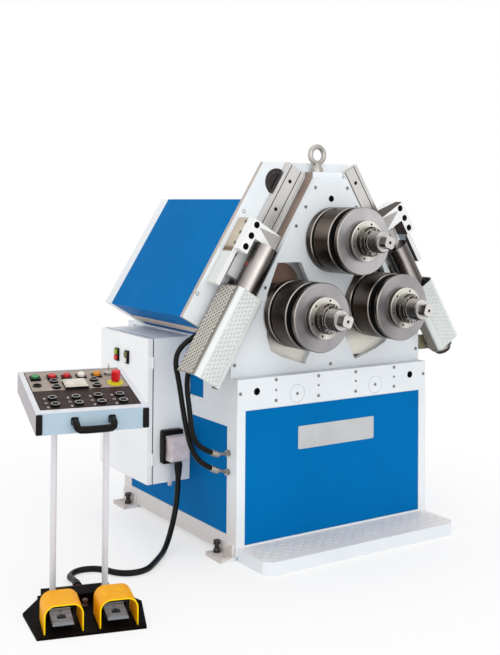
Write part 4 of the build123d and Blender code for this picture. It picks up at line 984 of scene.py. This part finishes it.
def chequer_field(bm, at, width, length, pitch):
    """Lozenges in two crossed directions over a flat field from a frame's corner."""
    across, along = int(width / pitch), int(length / pitch)
    edge_x, edge_y = (width - (across - 1) * pitch) / 2, (length - (along - 1) * pitch) / 2
    for i in range(across):
        for j in range(along):
            place = shifted(at, edge_x + i * pitch, edge_y + j * pitch)
            turn = radians(45 if (i + j) % 2 else -45)
            lozenge(bm, place @ Matrix.Rotation(turn, 4, "Z"), pitch * 1.2, pitch * 0.36, BAR_H)


def piece(name, body, material, build, node=None):
    """New mesh piece that rides on a body, and stands for a CAD node where one is named."""
    bm = bmesh.new()
    build(bm)
    bmesh.ops.recalc_face_normals(bm, faces=bm.faces)
    data = bpy.data.meshes.new(name)
    bm.to_mesh(data)
    bm.free()
    data.polygons.foreach_set("use_smooth", [True] * len(data.polygons))
    data.set_sharp_from_angle(angle=radians(38))
    data.materials.append(material)
    made = bpy.data.objects.new(name, data)
    scene.collection.objects.link(made)
    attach(made, body)
    if node:
        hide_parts(node)


# Screws, bolts, plugs and the bare plate on the machine


def on_front(x, z, y):
    """Frame on a face that looks forward."""
    return out_of((x, y, z), AHEAD)


def on_guide(guide, place, way):
    """Frame at a place of a guide's own frame, with Z along one of that frame's directions."""
    return out_of(guide @ Vector(place), guide.to_3x3() @ Vector(way), AHEAD)


EDGE_SCREW_IN = -0.016
EDGE_SCREW_S = (0.729, 0.638, 0.549, 0.270, 0.180, 0.088)
CORNER_SCREWS = [(-0.458, 0.794), (-0.459, 0.724)]
HEAD_SCREW_R = 0.0070
HEAD_FOOT_SCREW_Z = 0.695
DECK_SCREWS = [(0.461, 0.623), (0.298, 0.663), (0.298, 0.584), (0.094, 0.661), (0.094, 0.583)]
DECK_SCREW_R = 0.0065
DECK_PINS = [(0.298, 0.624), (0.094, 0.624)]
DECK_PIN_R = 0.0045
DECK_LOW_SCREWS = [(0.197, 0.601)]
DECK_LOW_SCREW_R = 0.0060


def head_screws(bm):
    edge = [LEFT_GUIDE @ Vector((EDGE_SCREW_IN, s, 0)) for s in EDGE_SCREW_S]
    for x, z in [(at.x, at.z) for at in edge] + CORNER_SCREWS:
        for side in (-1, 1):
            socket_screw(bm, on_front(side * x, z, HEAD_FACE), HEAD_SCREW_R)
    socket_screw(bm, on_front(0, HEAD_FOOT_SCREW_Z, HEAD_FACE), HEAD_SCREW_R)


def deck_screws(bm):
    for spots, radius in (
        (DECK_SCREWS, DECK_SCREW_R),
        (DECK_PINS, DECK_PIN_R),
        (DECK_LOW_SCREWS, DECK_LOW_SCREW_R),
    ):
        for x, z in spots:
            for side in (-1, 1):
                socket_screw(bm, on_front(side * x, z, FRONT), radius)


def guide_bolts(bm):
    profile = [(0.008, -0.001), (0.008, 0.0002), (0.005, 0.0002), (0.004, -0.0008)]
    for x, z in ((-0.370, 1.308), (-0.578, 0.995)):
        lathe(bm, on_front(x, z, PLATE_FACE), profile, 24)


def port_plug(bm):
    wall = [(0.0545, -0.012), (0.0545, -0.002), (0.053, -0.001), (0.040, -0.001)]
    lathe(bm, on_front(-0.216, 1.425, STRIP_BACK), wall + [(0.036, -0.005), (0.012, -0.006)], 40)


def bare_plate(bm):
    at = on_front(0, 0.428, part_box("base_panels")[0][1])
    prism(bm, at, rounded(-0.1905, 0.1905, -0.045, 0.045, 0.006), 0, 0.0018, 0.0008)
    prism(bm, at, rounded(-0.172, 0.172, -0.034, 0.034, 0.004), 0.0016, 0.0023, 0.0004)
    for x in (-0.180, 0.180):
        for y in (-0.036, 0.036):
            lathe(bm, shifted(at, x, y), [(0.0035, 0.001), (0.0035, 0.003), (0.002, 0.004)], 10)


screw_grey = metal("screw_grey", "8E8B89", roughness=0.36)
piece("head_screws", ROOT, screw_grey, head_screws)
piece("deck_screws", ROOT, screw_grey, deck_screws)
piece("guide_plate_bolts", ROOT, screw_grey, guide_bolts)
plug_brown = metal("plug_brown", "2C2124", roughness=0.5, metallic=0.3)
piece("port_plug", ROOT, plug_brown, port_plug)
plate_silver = metal("plate_silver", "C9CBCD", roughness=0.3, stretch=(30, 1, 1), spread=0.06)
piece("bare_plate", ROOT, plate_silver, bare_plate)


# Chequer sheet of the covers and the step
COVER_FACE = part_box("guide_covers")[0][1]
COVER_TOP = 0.200
COVER_ENDS = ((LEFT_GUIDE, -0.168), (RIGHT_GUIDE, -0.090))
COVER_FRONT = axes_at((0.033, 0, COVER_FACE), (1, 0, 0), (0, 1, 0), (0, 0, -1))
COVER_FRONT_W = 0.076
COVER_SIDE = axes_at((0.135, 0, COVER_FACE + 0.028), (0, 0, 1), (0, 1, 0), (1, 0, 0))
COVER_SIDE_W = 0.106
BAR_L = 0.026
BAR_W = 0.0042
BAR_GAP = 0.0015
BAR_PITCH = 0.0092
BAR_SHORT = 0.006
BAR_LEAN = radians(-23.4)
STEP_PITCH = 0.024
STEP_SIDE = 0.006
STEP_LIP = 0.034
STEP_BACK = 0.004


def bar_field(bm, at, width, length, lean):
    """Rows of raised bars that lean from a frame's Y axis, cut off at the edges of a flat field."""
    along = Vector((sin(lean), cos(lean)))
    across = Vector((cos(lean), -sin(lean)))
    turn = Matrix.Rotation(tau / 4 - lean, 4, "Z")
    reach = int((width + length) / BAR_PITCH)
    for row in range(-reach, reach + 1):
        for step in range(-reach, reach + 1):
            middle = across * row * BAR_PITCH + along * (step + row % 2 / 2) * (BAR_L + BAR_GAP)
            low, high = -BAR_L / 2, BAR_L / 2
            for at_middle, rise, size in zip(middle, along, (width, length)):
                ends = (BAR_W / 2, size - BAR_W / 2)
                cuts = sorted((end - at_middle) / rise for end in ends)
                low, high = max(low, cuts[0]), min(high, cuts[1])
            if high - low > BAR_SHORT:
                place = shifted(at, *(middle + along * (low + high) / 2))
                lozenge(bm, place @ turn, high - low, BAR_W, BAR_H)


def cover_bars(corner, width, bm):
    """Bars on the front or the outer side of both covers, from a corner in the guides' frames."""
    for guide, end in COVER_ENDS:
        bar_field(bm, shifted(guide, 0, end) @ corner, width, COVER_TOP - end, BAR_LEAN)


def step_chequer(bm):
    low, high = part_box("step_platform")
    corner = Matrix.Translation((low[0] + STEP_SIDE, low[1] + STEP_LIP, high[2]))
    width = high[0] - low[0] - 2 * STEP_SIDE
    length = FRONT - low[1] - STEP_LIP - STEP_BACK
    chequer_field(bm, corner, width, length, STEP_PITCH)


bar_white = metal("bar_white", "F8FAF9", roughness=0.36, metallic=0.2, spread=0.05)
bar_grey = metal("bar_grey", "F8F4EC", roughness=0.36, metallic=0.1, spread=0.06)
front_bars = partial(cover_bars, COVER_FRONT, COVER_FRONT_W)
side_bars = partial(cover_bars, COVER_SIDE, COVER_SIDE_W)
piece("cover_chequer", ROOT, bar_white, front_bars)
piece("cover_side_chequer", ROOT, bar_grey, side_bars)
step_grey = paint("step_worn", "F2EEE9", worn="B5AFA8", wear=0.4)
piece("step_chequer", ROOT, step_grey, step_chequer)


# Threads on the shaft ends and screws of the guide carriages
THREAD_FOOT = -0.6915
THREAD_ROOT = 0.0396
THREAD_CREST = 0.0412
THREAD_PITCH = 0.004
THREAD_LENGTH = 0.0455


def shaft_thread(name, bm):
    """Ridges of the thread in front of one roll's nut."""
    x, z = ROLL_AXES[name]
    profile = [(THREAD_ROOT, 0.0)]
    for ridge in range(11):
        foot = ridge * THREAD_PITCH
        profile += [(THREAD_ROOT, 0.001 + foot), (THREAD_CREST, 0.003 + foot)]
    profile.append((THREAD_ROOT, THREAD_LENGTH))
    lathe(bm, on_front(x, z, THREAD_FOOT), profile, 40)


for roll in ROLL_AXES:
    ridges = partial(shaft_thread, roll)
    piece(f"{roll}_shaft_thread", f"{roll}_roll", thread_grey, ridges)


SHIELD_BACK = PLATE_BACK + 0.004
SHIELD_T = 0.003
SHIELD_HALF = 0.1015
SHIELD_TOP = 0.290
SHIELD_CUT = 0.123
CASE_CLEAR = 0.0965


def slot_shield(name, bm):
    """Thin plate behind a slide's slot, open below around the bearing case, its outer corner cut off."""
    x, z = ROLL_AXES[name]
    outer = SHIELD_HALF if x > 0 else -SHIELD_HALF
    angles = [tau / 2 * i / 24 for i in range(25)]
    arch = [(-CASE_CLEAR * cos(a), CASE_CLEAR * sin(a)) for a in angles]
    if x > 0:
        arch.reverse()
    outline = [
        (-outer, 0),
        (-outer, SHIELD_TOP),
        (outer * 0.26, SHIELD_TOP),
        (outer, SHIELD_TOP - SHIELD_CUT),
        (outer, 0),
        *arch,
    ]
    prism(bm, on_front(x, z, SHIELD_BACK), outline, 0, SHIELD_T)


shield_brown = metal("shield_brown", "A0806F", roughness=0.5, metallic=0.1)
for side in ("left", "right"):
    shield = partial(slot_shield, side)
    piece(f"{side}_slot_shield", f"{side}_slide", shield_brown, shield)


SET_SCREW_S = (0.353, 0.400, 0.447)
SLAB_OUT = 0.187
SLAB_Y = -0.404
BARREL_R = 0.0475
PORT_S = 0.300
OUTWARD = (1, 0, 0)
DOWNWARD = (0, -1, 0)


def carriage_screws(guide, lift, bm):
    """Set screws in the outer side of one guide carriage."""
    for s in SET_SCREW_S:
        socket_screw(bm, on_guide(guide, (SLAB_OUT, s + lift, SLAB_Y), OUTWARD), 0.0075, 0.002)


for side, (guide, lift) in GUIDES.items():
    screws = partial(carriage_screws, guide, lift)
    piece(f"{side}_carriage_screws", f"{side}_guide", nut_dark, screws)


def barrel_ports(bm):
    profile = [(0.011, -0.003), (0.011, 0.003), (0.008, 0.0045), (0.005, 0.0045), (0.005, 0.002)]
    for guide in (LEFT_GUIDE, RIGHT_GUIDE):
        lathe(bm, on_guide(guide, (GUIDE_MIDDLE + BARREL_R, PORT_S, BARREL_Y), OUTWARD), profile, 16)


def barrel_end_cap(bm):
    at = on_guide(RIGHT_GUIDE, (GUIDE_MIDDLE, BARREL_END, BARREL_Y), DOWNWARD)
    wall = [(0.036, -0.001), (0.036, 0.018), (0.033, 0.022)]
    lathe(bm, at, wall + [(0.020, 0.022), (0.018, 0.018), (0.006, 0.018)], 36)


cap_brown = plastic("cap_brown", "3A2C2E", roughness=0.35, gloss=0.2)
port_red = plastic("port_red", "7D4440", roughness=0.4)
piece("barrel_end_cap", ROOT, cap_brown, barrel_end_cap)
piece("barrel_port_caps", ROOT, port_red, barrel_ports)


# Hose crimps, strain reliefs and the plug connection
RIB_PITCH = 0.006


def hose_crimps(bm):
    profile = [(0.0112, -0.001)]
    for rib in range(4):
        foot = rib * RIB_PITCH
        profile += [(0.0125, 0.002 + foot), (0.0125, 0.005 + foot), (0.0116, 0.006 + foot)]
    profile.append((0.0116, 0.027))
    for route in (UPPER_HOSE, LOWER_HOSE):
        for end, before in ((route[0], route[1]), (route[-1], route[-2])):
            lathe(bm, out_of(end, Vector(end) - Vector(before)), profile, 20)


def relief(bm, place, outward):
    """Ribbed sleeve that tapers along a cable."""
    profile = [(0.0162, -0.001)]
    for rib in range(6):
        wide = 0.0162 - rib * 0.0006
        thin = wide - 0.0012
        foot = rib * RIB_PITCH
        profile += [(wide, 0.005 + foot), (thin, 0.0055 + foot), (thin, 0.007 + foot)]
    lathe(bm, out_of(place, outward), profile + [(0.0122, 0.0405)], 24)


LEVER_Z = 0.375


def plug_levers(bm):
    low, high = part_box("connector_socket")
    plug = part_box("connector_plug")
    for x, side in ((low[0], -1), (high[0], 1)):
        at = axes_at((x, low[1], LEVER_Z), AHEAD, ABOVE, (side, 0, 0))
        lower = [(-0.016, -0.040), (0.004, -0.040), (0.011, -0.030)]
        upper = [(across, -high) for across, high in reversed(lower)]
        prism(bm, at, lower + upper, -0.001, 0.004, 0.0012)
        pivot = [(0.0065, -0.001), (0.0065, 0.0015), (0.005, 0.0025)]
        lathe(bm, shifted(at, -0.006, 0, 0.004), pivot, 16)
    for z in (plug[0][2] + 0.034, plug[1][2] - 0.012):
        for x in (low[0] + 0.006, high[0] - 0.006):
            socket_screw(bm, on_front(x, z, low[1]), 0.0045, 0.002)


piece("hose_crimps", ROOT, zinc, hose_crimps)
piece("plug_relief", ROOT, black_plastic, lambda bm: relief(bm, CABLE[0], (0, 0, -1)))
relief_run = Vector(CABLE[-2]) - Vector(CABLE[-1])
piece("stand_relief", ROOT, black_plastic, lambda bm: relief(bm, CABLE[-1], relief_run))
piece("plug_levers", ROOT, black_plastic, plug_levers)


def cabinet_gland(bm):
    at = out_of((-0.556, -0.098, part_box("cabinet_body")[0][2]), (0, 0, -1))
    lathe(bm, at, [(0.012, -0.001), (0.012, 0.006), (0.0095, 0.007), (0.0095, 0.018), (0.005, 0.021)], 6)


piece("cabinet_gland", ROOT, plug_grey, cabinet_gland)


# Door seam of the cabinet and the lip under the hood
CABINET_FRONT = -0.115
SEAM_HALF = 0.0016


def door_seam(bm):
    low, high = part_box("cabinet_body")
    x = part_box("cabinet_door")[1][0]
    front, rear, top, bottom = CABINET_FRONT, high[1], high[2], low[2]
    for at, along in (
        (on_front(x, (top + bottom) / 2, front), (top - bottom) / 2),
        (out_of((x, rear, (top + bottom) / 2), (0, 1, 0)), (top - bottom) / 2),
        (out_of((x, (front + rear) / 2, top), (0, 0, 1), (1, 0, 0)), (rear - front) / 2),
        (out_of((x, (front + rear) / 2, bottom), (0, 0, -1), (1, 0, 0)), (rear - front) / 2),
    ):
        wide, tall = (SEAM_HALF, along) if abs(at.col[0].x) > 0.5 else (along, SEAM_HALF)
        prism(bm, at, square(-wide, wide, -tall, tall), -0.001, 0.0008, 0.0003)


piece("door_seam", ROOT, rubber, door_seam)


HOOD_KNEE_Z = 0.910
LIP_SHARES = (0.54, 0.78)


def hood_lip(bm):
    low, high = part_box("hood_panels")
    knee = Vector((low[0], 0, HOOD_KNEE_Z))
    run = Vector((-HALF_W, 0, low[2])) - knee
    y_axis = Vector((0, 1, 0))
    at = axes_at(knee, y_axis, run.normalized(), y_axis.cross(run.normalized()))
    near, far = (share * run.length for share in LIP_SHARES)
    prism(bm, at, square(low[1], high[1], near, far), -0.001, 0.004, 0.0006)


# Tan on the white flange under the hood is painted shade.
piece("hood_lip", ROOT, paint("lip_painted_shade", "DCC8B8", roughness=0.45), hood_lip)


# Console handle, corner caps, marks, display and key
HANDLE = [
    (-0.061, -0.188, 0.637),
    (-0.061, -0.204, 0.635),
    (-0.061, -0.218, 0.628),
    (-0.0585, -0.2255, 0.620),
    (-0.051, -0.2275, 0.616),
    (-0.030, -0.228, 0.615),
]
CONSOLE_FACE = -0.189
HANDLE_X = 0.061
HANDLE_Z = 0.637
CAP_X = 0.175


def console_handle(bm):
    path = HANDLE + [(-x, y, z) for x, y, z in reversed(HANDLE)]
    sweep(bm, [CONSOLE @ Vector(p) for p in path], 0.0112, 0.0100)
    for side in (-1, 1):
        at = CONSOLE @ on_front(side * HANDLE_X, HANDLE_Z, CONSOLE_FACE)
        prism(bm, at, rounded(-0.0125, 0.0125, -0.014, 0.013, 0.006), 0, 0.004, 0.0015)


def console_caps(bm):
    for side in (-1, 1):
        at = CONSOLE @ on_front(side * CAP_X, 0, CONSOLE_FACE)
        prism(bm, at, rounded(-0.0105, 0.0105, 0.600, 0.664, 0.004), 0, 0.003, 0.0012)


nylon = plastic("handle_nylon", "080607", roughness=0.24, gloss=0.14, worn="403C3D")
piece("console_handle", ROOT, nylon, console_handle, "console_fittings")
piece("console_caps", ROOT, bezel_dark, console_caps, "console_fittings")


MARK_ASIDE = 0.0245
MARK_H = 0.0003
ARROW_RISE = 0.009


def panel_marks(bm):
    half = [(0.006, 0.0005), (0.0024, 0.0005), (0.0024, -0.0075)]
    arrow = [(0, 0.0075)] + half + [(-x, y) for x, y in reversed(half)]
    for pair in JOGS.values():
        for (x, y), way in zip(pair, (1, -1)):
            outline = [(px, way * py) for px, py in arrow]
            prism(bm, shifted(PANEL, x - MARK_ASIDE, y + ARROW_RISE * way), outline, 0, MARK_H)
        middle = (pair[0][1] + pair[1][1]) / 2
        at = shifted(PANEL, pair[0][0] - MARK_ASIDE, middle)
        lathe(bm, at, [(0.0036, 0), (0.0036, MARK_H), (0.0056, MARK_H), (0.0056, 0)], 20)


PANEL_X = (-0.1665, 0.1665)
PANEL_Y = (-0.1547, 0.1737)
OUTLINE_W = 0.0024


def panel_outline(bm):
    (x0, x1), (y0, y1) = PANEL_X, PANEL_Y
    for ax, bx, ay, by in (
        (x0, x1, y1 - OUTLINE_W, y1),
        (x0, x1, y0, y0 + OUTLINE_W),
        (x0, x0 + OUTLINE_W, y0 + OUTLINE_W, y1 - OUTLINE_W),
        (x1 - OUTLINE_W, x1, y0 + OUTLINE_W, y1 - OUTLINE_W),
    ):
        prism(bm, PANEL, square(ax, bx, ay, by), -0.0005, 0.0004)


def display_face(bm):
    (x0, x1), (y0, y1) = DISPLAY
    frame_line = rounded(x0 + 0.008, x1 - 0.008, y0 + 0.008, y1 - 0.008, 0.004)
    glass_line = rounded(x0 + 0.015, x1 - 0.015, y0 + 0.024, y1 - 0.014, 0.002)
    prism(bm, PANEL, frame_line, 0.0138, 0.0148, 0.0006)
    prism(bm, PANEL, glass_line, 0.0146, 0.0154, 0.0004)


def key_piece(bm):
    at = shifted(PANEL, KEY_AT.x, KEY_AT.y)
    lathe(bm, at, [(0.009, 0.0005), (0.009, 0.0110), (0.008, 0.012), (0.005, 0.012)], 24)
    side = at @ axes_at((0.0014, 0, 0), (0, 1, 0), (0, 0, 1), (1, 0, 0))
    prism(bm, side, square(-0.004, 0.004, 0.0115, 0.022), -0.0026, -0.0002)
    bow = [(0.009 * cos(tau * i / 20), 0.0315 + 0.0105 * sin(tau * i / 20)) for i in range(20)]
    prism(bm, side, bow, -0.0028, 0.0, 0.0008)


display_glass = plastic("display_glass", "DAD3C8", roughness=0.16)
piece("panel_marks", ROOT, plastic("mark_white", "BDB7B0", roughness=0.5), panel_marks)
piece("panel_outline", ROOT, bezel_dark, panel_outline)
piece("display_face", ROOT, display_glass, display_face)
piece("key_with_bow", "key", key_nickel, key_piece, "key_switch")


# Treads and slots of the pedals and the knob between the guards
PEDAL_X = 0.086
PEDAL_HINGE = (-0.182, 0.034)
PEDAL_TILT = radians(4)
PEDAL_TOP = 0.003
TREAD_Y = (-0.090, -0.082, -0.074, -0.066, -0.029, -0.021)


def on_pedal(side, y):
    """Frame on top of the left or right pedal."""
    hinge = shifted(STAND, side * PEDAL_X, *PEDAL_HINGE) @ Matrix.Rotation(PEDAL_TILT, 4, "X")
    return shifted(hinge, 0, y, PEDAL_TOP)


def pedal_treads(side, bm):
    """Cross ribs on one pedal."""
    outline = rounded(-0.030, 0.030, -0.0018, 0.0018, 0.0015, 2)
    for y in TREAD_Y:
        prism(bm, on_pedal(side, y), outline, 0, 0.0016, 0.0006)


def pedal_slot(side, bm):
    """Black T of painted shade for the slot and latch tongue in one pedal."""
    prism(bm, on_pedal(side, -0.047), rounded(-0.011, 0.011, -0.008, 0.008, 0.003, 2), 0, 0.0012)
    prism(bm, on_pedal(side, -0.026), rounded(-0.005, 0.005, -0.015, 0.015, 0.002, 2), 0, 0.0010)


for kind, slot, material, build in (
    ("slot", "black_steel", black_plastic, pedal_slot),
    ("treads", "pedal_steel", pedal_grey, pedal_treads),
):
    for name, side in (("left", -1), ("right", 1)):
        piece(f"{name}_pedal_{kind}", f"pedal_{name}", material, partial(build, side))


def stand_knob(bm):
    at = shifted(STAND, 0.0075, -0.096, 0.008)
    neck = [(0.010, 0), (0.010, 0.004), (0.005, 0.006), (0.005, 0.012)]
    lathe(bm, at, neck + [(0.0095, 0.015), (0.0095, 0.021), (0.005, 0.024)], 20)


piece("stand_knob", ROOT, plastic("knob_brown", "5A3A2C", roughness=0.4), stand_knob)


# Floor, world and lamps


def add_stage():
    """Pale floor that turns into plain white away from the object, soft lamps and an even sky."""
    bm = bmesh.new()
    bmesh.ops.create_grid(bm, x_segments=1, y_segments=1, size=60)
    data = bpy.data.meshes.new("floor")
    bm.to_mesh(data)
    bm.free()
    floor = bpy.data.objects.new("floor", data)
    scene.collection.objects.link(floor)
    g = Surface("floor_white")
    near = g.node("VectorMath", {0: g.place, 1: (-0.4, -0.1, 0)}, operation="DISTANCE").outputs["Value"]
    share = g.math("MULTIPLY", g.seen(), g.remap(near, 0.3, 2.0, 0.50, 1.0))
    g.feed(g.main.inputs["Base Color"], (0.93, 0.93, 0.93, 1))
    g.feed(g.main.inputs["Roughness"], 0.9)
    glow = g.node("Emission", {"Color": (1, 1, 1, 1), "Strength": 1.0})
    blend = g.node("MixShader", {0: share, 1: g.main.outputs[0], 2: glow.outputs[0]})
    g.feed(g.tree.nodes["Material Output"].inputs["Surface"], blend.outputs[0])
    data.materials.append(g.material)

    world = bpy.data.worlds.new("sky")
    world.use_nodes = True
    scene.world = world
    sky = Graph(world.node_tree)
    back = sky.tree.nodes["Background"]
    sky.feed(back.inputs["Color"], (1, 1, 1, 1))
    sky.feed(back.inputs["Strength"], sky.remap(sky.seen(), 0, 1, 0.84, 1.0))

    for name, place, size, power in (
        ("key", (-1.5, -5.4, 1.7), 5.0, 77),
        ("fill", (-4.4, -2.4, 2.4), 4.5, 24),
        ("top", (-0.6, -1.2, 5.0), 4.5, 28),
    ):
        lamp_data = bpy.data.lights.new(name, "AREA")
        lamp_data.size = size
        lamp_data.energy = power
        lamp = bpy.data.objects.new(name, lamp_data)
        aim = Vector((-0.3, 0, 0.7)) - Vector(place)
        lamp.rotation_euler = aim.to_track_quat("-Z", "Y").to_euler()
        lamp.location = place
        scene.collection.objects.link(lamp)


add_stage()
scene.view_settings.view_transform = "Standard"
bpy.context.view_layer.update()
